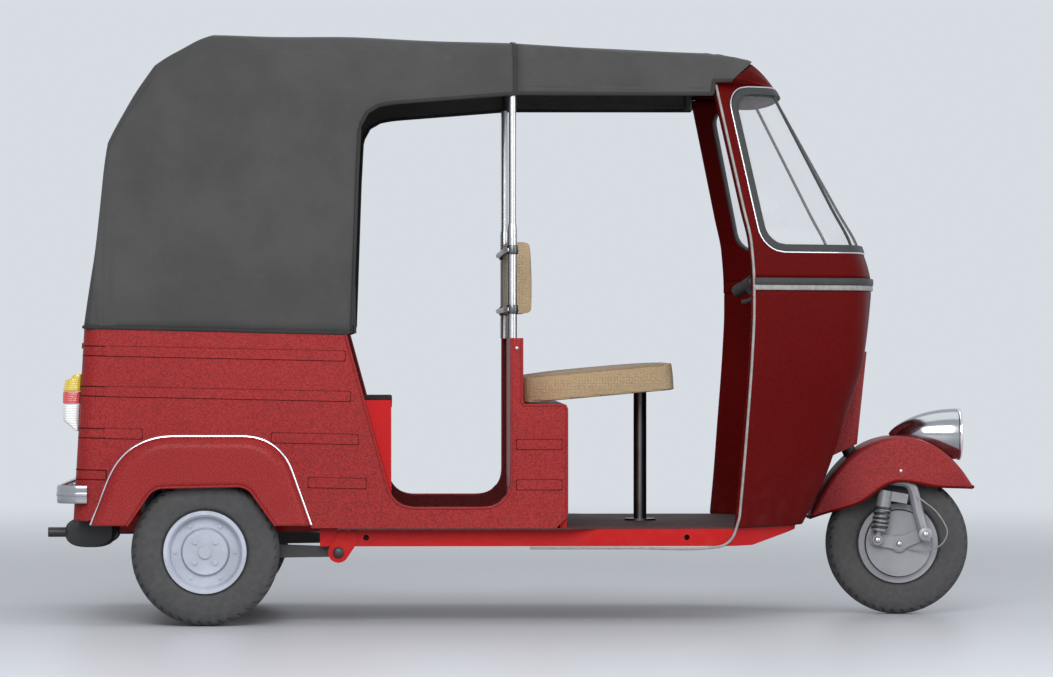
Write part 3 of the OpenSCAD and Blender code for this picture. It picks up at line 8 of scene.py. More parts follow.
import bmesh
import bpy
import numpy as np
from bpy.props import FloatProperty, FloatVectorProperty, IntProperty, PointerProperty
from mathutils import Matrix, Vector


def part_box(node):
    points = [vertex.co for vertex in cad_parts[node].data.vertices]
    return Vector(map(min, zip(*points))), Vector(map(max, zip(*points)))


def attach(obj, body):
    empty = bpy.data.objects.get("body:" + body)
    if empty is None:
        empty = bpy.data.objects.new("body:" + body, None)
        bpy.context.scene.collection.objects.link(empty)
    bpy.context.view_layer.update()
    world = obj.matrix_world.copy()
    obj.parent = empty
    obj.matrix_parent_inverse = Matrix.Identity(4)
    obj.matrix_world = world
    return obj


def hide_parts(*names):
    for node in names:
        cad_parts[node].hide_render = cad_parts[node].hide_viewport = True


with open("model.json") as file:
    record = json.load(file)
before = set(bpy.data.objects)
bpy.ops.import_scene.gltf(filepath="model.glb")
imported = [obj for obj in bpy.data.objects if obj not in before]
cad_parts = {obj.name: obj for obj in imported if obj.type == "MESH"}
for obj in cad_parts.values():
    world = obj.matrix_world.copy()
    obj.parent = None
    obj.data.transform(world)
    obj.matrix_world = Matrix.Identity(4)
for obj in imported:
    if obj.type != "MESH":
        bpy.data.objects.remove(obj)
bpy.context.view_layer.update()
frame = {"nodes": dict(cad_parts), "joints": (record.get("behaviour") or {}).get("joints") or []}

bl_info = {
    "name": "Auto rickshaw looks",
    "version": (1, 0, 0),
    "blender": (4, 5, 0),
    "location": "View3D > Sidebar > Rickshaw",
    "description": "Dresses the frame of an auto rickshaw in sheet metal, cloth, rubber and glass",
    "category": "Object",
}

JOINT = {joint["name"]: np.array(joint["pos_m"]) for joint in frame["joints"]}
REAR_X = JOINT["rear_wheel_right_spin"][0]
WHEELBASE = JOINT["front_wheel_spin"][0] - REAR_X
AXLE_Z = JOINT["front_wheel_spin"][2]
TRACK = 2 * JOINT["rear_wheel_left_spin"][1]
HALF_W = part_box("rear_panel")[1].y
TAIL_X = 0.341
RIGHT, LEFT = SIDES = -1, 1
POLE_X, POLE_Y, POLE_R = 0.862, 0.5129, 0.0125
SHARP, SHARP_EDGE = math.radians(38), math.radians(40)
MERGE = 2e-6


# Shapes

def moved(points):
    """Points measured from the rear axle, in the frame's own place."""
    return np.asarray(points, float) + (REAR_X, 0, 0)


def between(a, b, t):
    """Straight line from a to b at the share t."""
    return a + (b - a) * t


def unit(v):
    """Vectors of length one along the last axis."""
    return v / np.maximum(np.linalg.norm(v, axis=-1, keepdims=True), 1e-12)


def cubic(at, knots, values, rate):
    """Cubic pieces through the values at the knots, with a slope given for each knot."""
    k = np.clip(np.searchsorted(knots, at, side="right") - 1, 0, len(knots) - 2)
    h = np.diff(knots)[k][:, None]
    t = (at - knots[k])[:, None] / h
    return ((2 * t**3 - 3 * t**2 + 1) * values[k] + (t**3 - 2 * t**2 + t) * h * rate[k]
            + (3 * t**2 - 2 * t**3) * values[k + 1] + (t**3 - t**2) * h * rate[k + 1])


def hermite(at, knots, values):
    """Monotone cubic through the knots: each slope is the harmonic mean of its neighbours', and zero at a turn."""
    slope = np.diff(values, axis=0) / np.diff(knots)[:, None]
    same = slope[:-1] * slope[1:] > 0
    inner = np.where(same, 2 * slope[:-1] * slope[1:] / np.where(same, slope[:-1] + slope[1:], 1), 0)
    return cubic(at, knots, values, np.concatenate([slope[:1], inner, slope[-1:]]))


def lengths(points):
    """Length along a polyline at each of its points."""
    return np.concatenate([[0], np.cumsum(np.linalg.norm(np.diff(points, axis=0), axis=1))])


def smooth_path(points, count):
    """Cubic path through given points, spaced by the length of their chords."""
    points = np.asarray(points, float)
    knots = lengths(points)
    chord = np.diff(points, axis=0) / np.diff(knots)[:, None]
    rate = np.concatenate([chord[:1], (chord[:-1] + chord[1:]) / 2, chord[-1:]])
    return cubic(np.linspace(0, knots[-1], count), knots, points, rate)


def even_path(points, count):
    """The same polyline with points at equal lengths along it."""
    points = np.asarray(points, float)
    length = lengths(points)
    at = np.linspace(0, length[-1], count)
    return np.stack([np.interp(at, length, column) for column in points.T], -1)


def rounded(corners, radii, count):
    """Polyline whose inner corners are arcs: a corner's arc is the quadratic through its two tangent points."""
    corners = np.asarray(corners, float)
    run = [corners[:1]]
    t = np.linspace(0, 1, count)[:, None]
    for before, corner, after, radius in zip(corners[:-2], corners[1:-1], corners[2:], radii):
        a, b = unit(before - corner), unit(after - corner)
        reach = radius / np.tan(np.arccos(np.clip(a @ b, -1, 1)) / 2)
        p, q = corner + a * reach, corner + b * reach
        run.append(between(between(p, corner, t), between(corner, q, t), t))
    return np.concatenate(run + [corners[-1:]])


def ring(radius, count):
    """Circle as a profile."""
    turn = np.linspace(0, math.tau, count, endpoint=False)
    return radius * np.stack([np.cos(turn), np.sin(turn)], -1)


def bar(width, height, count, corner):
    """Rounded rectangle as a profile: a superellipse drawn out to the width and height."""
    turn = np.linspace(0, math.tau, 4 * count, endpoint=False)
    c, s = np.cos(turn), np.sin(turn)
    return np.stack([np.sign(c) * np.abs(c)**corner * width / 2, np.sign(s) * np.abs(s)**corner * height / 2], -1)


def sweep(path, profile, up, closed=False):
    """Profile carried along a path: its first number goes to the side, the cross product of the path's direction
    and up, and its second one upwards, square to both."""
    path = np.asarray(path, float)
    if closed:
        ahead = unit(np.roll(path, -1, 0) - np.roll(path, 1, 0))
    else:
        ahead = unit(np.gradient(path, axis=0))
    side = unit(np.cross(ahead, np.broadcast_to(up, path.shape)))
    lift = np.cross(side, ahead)
    profile = np.broadcast_to(profile, (len(path),) + np.shape(profile)[-2:])
    return path[:, None] + profile[..., :1] * side[:, None] + profile[..., 1:] * lift[:, None]


def turned(profile, centre, axis, start, count):
    """Surface of revolution: each profile point (radius, along) goes round the axis from the start direction."""
    axis, start = unit(np.asarray(axis, float)), unit(np.asarray(start, float))
    other = np.cross(axis, start)
    turn = np.linspace(0, math.tau, count, endpoint=False)
    spoke = np.cos(turn)[:, None] * start + np.sin(turn)[:, None] * other
    profile = np.asarray(profile, float)
    return np.asarray(centre) + profile[None, :, :1] * spoke[:, None] + profile[None, :, 1:] * axis


def leaned(points, angle):
    """Points turned backwards about the y axis."""
    x, y, z = np.moveaxis(np.asarray(points, float), -1, 0)
    return np.stack([x * math.cos(angle) - z * math.sin(angle), y, x * math.sin(angle) + z * math.cos(angle)], -1)


def surface(points, wrap=(False, False), caps=False, keep=None):
    """Corner points and faces of a grid: one quad between each two rows and columns, and flat ends if asked for."""
    rows, cols = points.shape[:2]
    i, j = np.meshgrid(np.arange(rows if wrap[0] else rows - 1), np.arange(cols if wrap[1] else cols - 1),
                       indexing="ij")
    up, on = (i + 1) % rows, (j + 1) % cols
    quads = np.stack([i * cols + j, i * cols + on, up * cols + on, up * cols + j], -1)
    faces = (quads if keep is None else quads[keep]).reshape(-1, 4).tolist()
    if caps:
        faces += [list(range(cols))[::-1], list(range((rows - 1) * cols, rows * cols))]
    return points.reshape(-1, 3), faces


def beam(path, profile, up=(0, 0, 1), closed=False):
    """Profile carried along a path, as a closed loop or as a bar with flat ends."""
    return surface(sweep(path, profile, up, closed), (closed, True), not closed)


def rod(path, radius, up=(0, 0, 1), sides=12, closed=False):
    """Round rod along a path, with one radius or one for each point."""
    return beam(path, ring(1.0, sides) * np.reshape(radius, (-1, 1, 1)), up, closed)


def lathed(profile, centre, axis, start, count):
    """Surface of revolution as points and faces."""
    return surface(turned(profile, centre, axis, start, count), (True, False))


def bolts(places, ways, radius, height):
    """Dome-headed bolts: a low cap of revolution at each place, set along its own way."""
    t = np.linspace(0, 1, 6)
    cap = np.stack([radius * np.cos(t * math.pi / 2), height * np.sin(t * math.pi / 2)], -1)
    profile = np.concatenate([[[0, -height / 2], [radius, -height / 2]], cap])
    made = []
    for place, way in zip(np.asarray(places, float), np.broadcast_to(ways, np.shape(places))):
        start = np.cross(way, (0.3, 0.5, 0.8))
        made.append(lathed(profile, place, way, start, 12))
    return made


def linked(name, data):
    """New object in the scene."""
    made = bpy.data.objects.new(name, data)
    bpy.context.scene.collection.objects.link(made)
    return made


def piece(name, surfaces, body, skin, wall=0.0, bevel=0.0):
    """One object from surfaces given from the rear axle, merged at their seams, on a CAD body."""
    surfaces = surfaces if isinstance(surfaces, list) else [surfaces]
    points = moved(np.concatenate([s[0] for s in surfaces]))
    starts = np.cumsum([0] + [len(s[0]) for s in surfaces])
    faces = [[int(v) + int(start) for v in face] for s, start in zip(surfaces, starts) for face in s[1]]
    mesh = bpy.data.meshes.new(name)
    mesh.from_pydata(points, [], faces)
    work = bmesh.new()
    work.from_mesh(mesh)
    bmesh.ops.remove_doubles(work, verts=work.verts, dist=MERGE)
    bmesh.ops.delete(work, geom=[v for v in work.verts if not v.link_faces], context="VERTS")
    bmesh.ops.recalc_face_normals(work, faces=work.faces)
    work.to_mesh(mesh)
    work.free()
    return dressed(linked(name, mesh), body, skin, wall, bevel)


def dressed(made, body, skin, wall=0.0, bevel=0.0, levels=0):
    """Gives an object its finish, wall and body."""
    mesh = made.data
    mesh.materials.clear()
    mesh.materials.append(finish(skin))
    mesh.polygons.foreach_set("use_smooth", np.full(len(mesh.polygons), True))
    mesh.set_sharp_from_angle(angle=SHARP)
    if wall:
        solid = made.modifiers.new("wall", "SOLIDIFY")
        solid.thickness, solid.offset, solid.use_even_offset = wall, -1, False
    if bevel:
        edge = made.modifiers.new("edge", "BEVEL")
        edge.width, edge.segments, edge.limit_method = bevel, 2, "ANGLE"
        edge.angle_limit = SHARP_EDGE
    if levels:
        finer = made.modifiers.new("finer", "SUBSURF")
        finer.levels = finer.render_levels = levels
    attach(made, body)
    return made


# Finishes

class Value:
    """A shader socket that takes part in sums: each operator adds one Math node."""

    def __init__(self, finish, socket):
        self.finish, self.socket = finish, socket

    def sum(self, operation, first, second):
        return self.finish.node("ShaderNodeMath", {"operation": operation}, {0: first, 1: second})

    def __add__(self, other):
        return self.sum("ADD", self, other)

    def __radd__(self, other):
        return self.sum("ADD", other, self)

    def __sub__(self, other):
        return self.sum("SUBTRACT", self, other)

    def __rsub__(self, other):
        return self.sum("SUBTRACT", other, self)

    def __mul__(self, other):
        return self.sum("MULTIPLY", self, other)


class Finish:
    """One procedural material on Object coordinates, with its Principled shader."""

    def __init__(self, name):
        self.material = bpy.data.materials.new(name)
        self.material.use_nodes = True
        self.tree = self.material.node_tree
        self.tree.nodes.clear()
        self.output = self.tree.nodes.new("ShaderNodeOutputMaterial")
        self.shader = self.tree.nodes.new("ShaderNodeBsdfPrincipled")
        self.tree.links.new(self.shader.outputs[0], self.output.inputs[0])
        self.place = self.node("ShaderNodeTexCoord", output="Object")

    def node(self, kind, settings=None, inputs=None, output=0):
        """Any node: its settings come first, then the values or links of its sockets."""
        made = self.tree.nodes.new(kind)
        for key, value in (settings or {}).items():
            if key == "stops":
                while len(made.color_ramp.elements) < len(value):
                    made.color_ramp.elements.new(0.5)
                for element, (at, colour) in zip(made.color_ramp.elements, value):
                    element.position, element.color = at, colour
            else:
                setattr(made, key, value)
        self.fill(made, inputs)
        return Value(self, made.outputs[output])

    def fill(self, node, inputs):
        for key, value in (inputs or {}).items():
            if isinstance(value, Value):
                self.tree.links.new(value.socket, node.inputs[key])
            else:
                node.inputs[key].default_value = value

    def mix(self, factor, a, b):
        """Colour from a to b."""
        return self.node("ShaderNodeMix", {"data_type": "RGBA"}, {0: factor, 6: a, 7: b}, 2)

    def noise(self, scale, detail=2.0, rough=0.5):
        return self.node("ShaderNodeTexNoise", None,
                         {"Vector": self.place, "Scale": scale, "Detail": detail, "Roughness": rough})

    def step(self, value, low, high):
        """Ramp from 0 at low to 1 at high."""
        return self.node("ShaderNodeMapRange", {"interpolation_type": "SMOOTHSTEP"},
                         {0: value, 1: low, 2: high, 3: 0.0, 4: 1.0})

    def axis(self, name):
        """One coordinate."""
        return self.node("ShaderNodeSeparateXYZ", None, {0: self.place}, name)

    def wave(self, direction, scale):
        return self.node("ShaderNodeTexWave", {"bands_direction": direction},
                         {"Vector": self.place, "Scale": scale}, 1)

    def bump(self, height, strength, distance):
        return self.node("ShaderNodeBump", None, {"Height": height, "Strength": strength, "Distance": distance})

    def done(self, **sockets):
        """Sets the shader's sockets and hands over the material."""
        self.fill(self.shader, {key.replace("_", " "): value for key, value in sockets.items()})
        return self.material


ROAD_DUST, MAT_DUST = (0.23, 0.17, 0.13, 1), (0.16, 0.12, 0.1, 1)


def shade(colour, factor):
    """The same colour, lighter or darker."""
    return tuple(min(max(c * factor, 0), 1) for c in colour[:3]) + (1.0,)


def grained_paint(name, colour, grain, gloss, coat, shine=0.1, doorway=False):
    """Sprayed paint with a sparkling grain, soft clouds and road dust low down. With a doorway, the faces that lie
    deeper than the body's outer skin get painted shade and are darker, from the rear corner forwards."""
    f = Finish(name)
    speck = f.step(f.noise(260, 2, 0.7), 0.38, 0.62)
    fine = f.step(f.noise(620, 1, 0.6), 0.36, 0.64)
    cloud = f.step(f.noise(3.2, 3), 0.3, 0.7)
    flake = speck * 0.6 + fine * 0.4
    tint = f.mix(flake, shade(colour, 1 - grain), shade(colour, 1 + grain))
    tint = f.mix(cloud * 0.3, tint, f.mix(flake, shade(colour, 0.8 - grain), shade(colour, 0.92 + grain / 2)))
    low = (1 - f.step(f.axis("Z"), 0.2, 0.5)) * f.step(f.noise(24, 4), 0.42, 0.7)
    tint = f.mix(low * 0.05, tint, ROAD_DUST)
    rough = gloss + flake * 0.12 + low * 0.2
    # Painted shade: the side panels' inner faces, inside the cabin, turn very dark
    if doorway:
        side = f.node("ShaderNodeMath", {"operation": "ABSOLUTE"}, {0: f.axis("Y")})
        deep = (1 - f.step(side, HALF_W - 0.005, HALF_W - 0.002)) * f.step(f.axis("X"), REAR_X + 0.3, REAR_X + 0.34)
        tint = f.mix(deep * 0.85, tint, f.mix(flake, shade(colour, 0.06), shade(colour, 0.5)))
    return f.done(Base_Color=tint, Roughness=rough, Normal=f.bump(flake, 0.05 + grain * 0.25, 0.0006),
                  Specular_IOR_Level=shine, Coat_Weight=coat, Coat_Roughness=0.06)


def rubber(name, colour, rough):
    """Matt rubber with faint mottling and dust."""
    f = Finish(name)
    mottle = f.noise(60, 4)
    fine = f.noise(700, 2)
    tint = f.mix(f.step(mottle, 0.3, 0.75), shade(colour, 0.82), shade(colour, 1.16))
    return f.done(Base_Color=tint, Roughness=rough + mottle * 0.15, Normal=f.bump(fine, 0.25, 0.0005))


def weave(f, pitch):
    """Plain weave: warp and weft bands that take turns, as a height from 0 to 1."""
    x, y, z = f.axis("X"), f.axis("Y"), f.axis("Z")
    bands = [f.node("ShaderNodeMath", {"operation": "SINE"}, {0: a * (math.tau / pitch)}) for a in (x, y, z)]
    return (bands[0] * bands[2] + bands[1] * bands[2] + bands[0] * bands[1]) * 0.33 + 0.5


def canopy_cloth(name, colour):
    """Coated canvas: fine weave, slow fading and a few rubbed streaks."""
    f = Finish(name)
    cloth = weave(f, 0.0042)
    fade = f.step(f.noise(4.5, 4, 0.6), 0.28, 0.75)
    rub = f.step(f.noise(34, 5, 0.7), 0.55, 0.8)
    tint = f.mix(fade, shade(colour, 0.86), shade(colour, 1.12))
    tint = f.mix(rub * 0.22, tint, shade(colour, 1.7))
    tint = f.mix(cloth * 0.3, tint, shade(colour, 0.7))
    return f.done(Base_Color=tint, Roughness=0.62 + cloth * 0.18, Normal=f.bump(cloth, 0.3, 0.0008),
                  Specular_IOR_Level=0.12, Sheen_Weight=0.04, Sheen_Roughness=0.5)


def seat_cloth(name, colour):
    """Woven seat cloth: coarse flecked weave with worn, paler patches."""
    f = Finish(name)
    cloth = weave(f, 0.0085)
    fleck = f.step(f.noise(340, 2, 0.7), 0.34, 0.66)
    worn = f.step(f.noise(9, 3), 0.42, 0.75)
    tint = f.mix(fleck, shade(colour, 0.72), shade(colour, 1.18))
    tint = f.mix(cloth * 0.45, tint, shade(colour, 0.55))
    tint = f.mix(worn * 0.25, tint, shade(colour, 1.3))
    return f.done(Base_Color=tint, Roughness=0.8 + cloth * 0.12, Normal=f.bump(cloth + fleck * 0.4, 0.5, 0.0016),
                  Sheen_Weight=0.25, Sheen_Roughness=0.4)


def bright_metal(name, colour, rough, behind=None):
    """Plated or brushed metal with faint smears and pitting, and painted shade that makes it much darker behind a
    given x.
    """
    f = Finish(name)
    smear = f.step(f.noise(16, 4, 0.6), 0.35, 0.8)
    pit = f.step(f.noise(420, 2), 0.62, 0.74)
    tint = f.mix(pit * 0.35, colour, shade(colour, 0.55))
    # Painted shade: much darker behind the given x
    if behind is not None:
        tint = f.mix(f.step(f.axis("X"), behind - 0.001, behind), shade(colour, 0.12), tint)
    return f.done(Base_Color=tint, Metallic=1.0, Roughness=rough + smear * 0.1 + pit * 0.15,
                  Normal=f.bump(pit, 0.04, 0.0004))


def painted_metal(name, colour, rough, metallic=0.0):
    """Painted or cast metal: orange peel, scuffs and dust."""
    f = Finish(name)
    peel = f.noise(260, 3)
    scuff = f.step(f.noise(48, 5, 0.7), 0.56, 0.74)
    tint = f.mix(f.step(f.noise(7, 3), 0.3, 0.7), shade(colour, 0.86), shade(colour, 1.12))
    tint = f.mix(scuff * 0.3, tint, shade(colour, 1.6))
    return f.done(Base_Color=tint, Metallic=metallic, Roughness=rough + scuff * 0.2 + peel * 0.08,
                  Normal=f.bump(peel, 0.12, 0.0006))


def floor_mat(name, colour):
    """Ribbed maroon mat: flecked, with ribs along the vehicle and dust between them."""
    f = Finish(name)
    rib = f.step(f.wave("Y", 28), 0.3, 0.7)
    dust = f.step(f.noise(18, 4), 0.4, 0.75)
    fleck = f.step(f.noise(230, 2, 0.7), 0.42, 0.66)
    tint = f.mix(fleck, shade(colour, 0.35), shade(colour, 2.6))
    tint = f.mix(rib * 0.3, tint, shade(colour, 0.5))
    tint = f.mix(dust * 0.12, tint, MAT_DUST)
    return f.done(Base_Color=tint, Roughness=0.7 + dust * 0.15, Normal=f.bump(rib, 0.6, 0.002))


def clear_pane(name, colour, alpha, rough):
    """Clear glass or sheet with a little dirt that thickens its edges."""
    f = Finish(name)
    dirt = f.step(f.noise(11, 5, 0.65), 0.52, 0.8)
    return f.done(Base_Color=f.mix(dirt, colour, shade(colour, 0.86)), Alpha=alpha + dirt * 0.05,
                  Roughness=rough + dirt * 0.1, Coat_Weight=0.3, Coat_Roughness=0.03)


def lamp_glass(name, colour, pitch, alpha=1.0):
    """Moulded lamp lens: prisms across it and a glossy coat."""
    f = Finish(name)
    prism = f.wave("Y", pitch) * 0.6 + f.wave("Z", pitch) * 0.4
    tint = f.mix(prism, shade(colour, 0.62), shade(colour, 1.15))
    return f.done(Base_Color=tint, Roughness=0.14 + prism * 0.08, Normal=f.bump(prism, 0.5, 0.0015),
                  Alpha=alpha, Coat_Weight=1.0, Coat_Roughness=0.04)


# Sizes and colours

def colour_prop(label, words, default):
    return FloatVectorProperty(name=label, description=words, default=default, size=4, subtype="COLOR",
                               min=0.0, max=1.0)


def length_prop(label, words, default):
    return FloatProperty(name=label, description=words, default=default, min=0.0, unit="LENGTH", precision=4)


class RickshawColours(bpy.types.PropertyGroup):
    """Colours of the finishes, as linear values."""

    panel: colour_prop("Panels", "Grained red of the rear body and its flares", (0.27, 0.021, 0.022, 1))
    cowl: colour_prop("Cowl", "Dark red of the cowl and header", (0.1, 0.003, 0.003, 1))
    guard: colour_prop("Mudguard", "Grained red of the front mudguard", (0.26, 0.026, 0.028, 1))
    chassis: colour_prop("Chassis", "Bright red of the rails, seat box and benches", (0.44, 0.005, 0.006, 1))
    canopy: colour_prop("Canopy", "Grey of the hood and roof cloth", (0.062, 0.062, 0.062, 1))
    seat: colour_prop("Seats", "Tan of the seat cloth", (0.44, 0.325, 0.19, 1))
    piping: colour_prop("Piping", "Tan of the seat piping", (0.33, 0.235, 0.13, 1))
    tyre: colour_prop("Tyres", "Grey of the tyres", (0.05, 0.05, 0.051, 1))
    rim: colour_prop("Rims", "Silver of the wheel rims", (0.4, 0.43, 0.5, 1))
    steel: colour_prop("Steel", "Poles and bare steel", (0.5, 0.5, 0.51, 1))
    chrome: colour_prop("Chrome", "Bumper and headlamp", (0.82, 0.84, 0.87, 1))
    black: colour_prop("Black parts", "Fork, links and running gear", (0.02, 0.02, 0.022, 1))
    fork: colour_prop("Fork", "Grey of the front fork, link and damper", (0.24, 0.24, 0.26, 1))
    mat: colour_prop("Bench mat", "Dark maroon of the mat on the bench's front", (0.045, 0.008, 0.009, 1))
    trim: colour_prop("Trim", "Grey of the edge beads", (0.27, 0.265, 0.255, 1))
    rubber: colour_prop("Rubber", "Seals and mats", (0.026, 0.027, 0.028, 1))
    alloy: colour_prop("Alloy", "Engine block", (0.2, 0.2, 0.205, 1))
    amber: colour_prop("Amber lens", "Upper part of the tail lamps", (0.82, 0.62, 0.06, 1))
    red: colour_prop("Red lens", "Middle part of the tail lamps", (0.72, 0.1, 0.1, 1))
    clear: colour_prop("Clear lens", "Lower part of the tail lamps and the headlamp", (0.86, 0.88, 0.9, 1))
    glass: colour_prop("Glass", "Windscreen", (0.68, 0.71, 0.75, 1))
    sheet: colour_prop("Sheet", "Clear sheet of the hood's rear pane", (0.6, 0.64, 0.64, 1))


class RickshawSizes(bpy.types.PropertyGroup):
    """Sizes of what this file adds to the frame."""

    cloth: length_prop("Canopy cloth", "Thickness of the hood and roof cloth", 0.003)
    sag: length_prop("Canopy sag", "Sag of the cloth between two bows", 0.003)
    welt: length_prop("Welt", "Radius of the cord sewn into the canopy's edges", 0.0055)
    piping: length_prop("Piping", "Radius of the seat piping", 0.003)
    swell: length_prop("Swell", "Farthest that a cushion's face may move as it fills", 0.022)
    bead: length_prop("Bead", "Radius of the beads along the sheet metal's edges", 0.005)
    seal: length_prop("Seal", "Width of the windscreen's rubber seal", 0.02)
    tread: length_prop("Tread", "Depth of the tyres' grooves", 0.006)
    lugs: IntProperty(name="Lugs", description="Tread lugs round each tyre", default=44, min=12, max=80)
    bolt: length_prop("Bolt", "Radius of the small bolts and rivets", 0.006)


class RickshawStage(bpy.types.PropertyGroup):
    """Floor, light and camera."""

    floor: colour_prop("Floor", "Pale floor", (0.56, 0.585, 0.63, 1))
    background: colour_prop("Background", "Pale background", (0.685, 0.72, 0.775, 1))
    key: FloatProperty(name="Key", description="Power of the key lamp, in watts", default=400.0, min=0.0)
    fill: FloatProperty(name="Fill", description="Power of the fill lamp, in watts", default=150.0, min=0.0)
    top: FloatProperty(name="Top", description="Power of the lamp overhead, in watts", default=70.0, min=0.0)
    ambient: FloatProperty(name="Ambient", description="Strength of the light all round", default=0.45, min=0.0)
    lens: FloatProperty(name="Lens", description="Focal length in millimetres", default=168.86, min=20.0)
    distance: length_prop("Distance", "Camera's distance from the middle plane", 14.44)


def sizes():
    return bpy.context.scene.rickshaw_sizes


# Each finish: its maker, its colour and that colour's factor, and the maker's other values
FINISHES = {
    "panel_paint": (grained_paint, "panel", 1, 0.42, 0.42, 0.05),
    # Side panels: the same paint with painted shade on their inner faces
    "side_paint": (grained_paint, "panel", 1, 0.42, 0.42, 0.05, 0.1, True),
    "swage_shadow": (grained_paint, "panel", 0.2, 0.2, 0.6, 0.0),
    "cowl_paint": (grained_paint, "cowl", 1, 0.3, 0.42, 0.0, 0.04),
    "guard_paint": (grained_paint, "guard", 1, 0.4, 0.4, 0.05, 0.12),
    "chassis_paint": (grained_paint, "chassis", 1, 0.1, 0.36, 0.15),
    "bench_mat": (grained_paint, "mat", 1, 0.5, 0.7, 0.0),
    "mat_rubber": (floor_mat, "mat", 1),
    "canopy_cloth": (canopy_cloth, "canopy", 1),
    "canopy_edge": (canopy_cloth, "canopy", 0.55),
    "seat_cloth": (seat_cloth, "seat", 1),
    "seat_piping": (seat_cloth, "piping", 1),
    "tyre_rubber": (rubber, "tyre", 1, 0.68),
    "trim_grey": (rubber, "trim", 1, 0.42),
    "seal_rubber": (rubber, "rubber", 1, 0.55),
    "dash_black": (rubber, "rubber", 0.8, 0.5),
    "rim_paint": (painted_metal, "rim", 1, 0.3, 0.2),
    "fork_grey": (painted_metal, "fork", 1, 0.4, 0.35),
    "black_paint": (painted_metal, "black", 1, 0.4),
    "engine_alloy": (painted_metal, "alloy", 1, 0.45, 0.8),
    "pole_steel": (bright_metal, "steel", 1, 0.28),
    # Partition frame: steel with painted shade behind the front of the poles
    "frame_steel": (bright_metal, "steel", 1, 0.28, REAR_X + POLE_X - POLE_R),
    "post_steel": (bright_metal, "steel", 0.22, 0.3),
    "chrome": (bright_metal, "chrome", 1, 0.06),
    # A darker copy of the chrome: painted shade for the dark reflections on the headlamp and bumper
    "lamp_chrome": (bright_metal, "chrome", 0.5, 0.12),
    "seal_bead": (bright_metal, "chrome", 0.8, 0.25),
    "screen_glass": (clear_pane, "glass", 1, 0.07, 0.02),
    "clear_sheet": (clear_pane, "sheet", 1, 0.3, 0.08),
    "lens_amber": (lamp_glass, "amber", 1, 60),
    "lens_red": (lamp_glass, "red", 1, 60),
    "lens_clear": (lamp_glass, "clear", 1, 46),
    "headlamp_glass": (lamp_glass, "clear", 1, 34, 0.55),
}


def finish(name):
    """A finish by its name, made the first time that it is asked for."""
    title = "finish_" + name
    ready = bpy.data.materials.get(title)
    if ready:
        return ready
    make, colour, factor, *values = FINISHES[name]
    return make(title, shade(getattr(bpy.context.scene.rickshaw_colours, colour), factor), *values)


# Finishes of the CAD nodes that stay as they are
NODE_FINISH = {
    "chassis_frame": "chassis_paint", "floor_pan": "mat_rubber", "side_panel_right": "side_paint",
    "side_panel_left": "side_paint", "rear_panel": "panel_paint", "engine_lid": "panel_paint",
    "wheel_flares": "panel_paint", "cowl_lower": "cowl_paint", "belt_moulding": "trim_grey",
    "windscreen_frame": "cowl_paint", "windscreen_seal": "seal_rubber", "windscreen_glass": "screen_glass",
    "header_panel": "cowl_paint", "column_cover": "guard_paint", "steering_head": "black_paint",
    "dashboard": "dash_black", "hood_canopy": "canopy_cloth", "rear_window": "clear_sheet",
    "roof_canopy": "canopy_cloth", "hood_bows": "black_paint", "partition_frame": "frame_steel",
    "driver_bulkhead": "chassis_paint", "driver_backrest": "seat_cloth", "driver_cushion": "seat_cloth",
    "seat_post": "post_steel", "rear_tub": "chassis_paint", "passenger_cushion": "seat_cloth",
    "passenger_backrest": "seat_cloth", "engine_block": "engine_alloy", "silencer": "black_paint",
    "trailing_arms": "black_paint", "drive_shafts": "pole_steel", "rear_dampers": "black_paint",
    "rear_bumper": "chrome", "tail_lamps": "lens_red", "rear_tyre_right": "tyre_rubber",
    "rear_rim_right": "rim_paint", "rear_tyre_left": "tyre_rubber", "rear_rim_left": "rim_paint",
    "fork_stem": "black_paint", "fork_leg": "fork_grey", "trailing_link": "fork_grey",
    "front_damper": "fork_grey", "front_mudguard": "guard_paint", "headlamp_shell": "chrome",
    "headlamp_lens": "headlamp_glass", "handlebar": "black_paint", "brake_cable": "seal_rubber",
    "front_tyre": "tyre_rubber", "front_rim": "fork_grey",
}


class RICKSHAW_OT_cad_finishes(bpy.types.Operator):
    """Give every CAD node its finish"""

    bl_idname = "rickshaw.cad_finishes"
    bl_label = "CAD finishes"

    def execute(self, context):
        for node, name in NODE_FINISH.items():
            mesh = frame["nodes"][node].data
            mesh.materials.clear()
            mesh.materials.append(finish(name))
        return {"FINISHED"}


# Stage

CAMERA_X, CAMERA_Z = 0.531, 0.81
CAMERA_AIM = (0.0342, 0.0, 0.8056)
SENSOR, VIEW_END = 36.0, 200.0
FLOOR_REACH = 12.0
# Place and side of each area lamp
LIGHTS = {"key": ((-0.6, -7.0, 3.6), 4.0), "fill": ((6.0, -4.0, 2.6), 4.0), "top": ((0.0, 0.5, 6.0), 5.0)}
LIGHT_AIM = (0, 0, 0.7)


def aim(made, place, target):
    """Sets an object at a place and turns it to look at a target."""
    made.location = place
    made.rotation_euler = (Vector(target) - made.location).to_track_quat("-Z", "Y").to_euler()


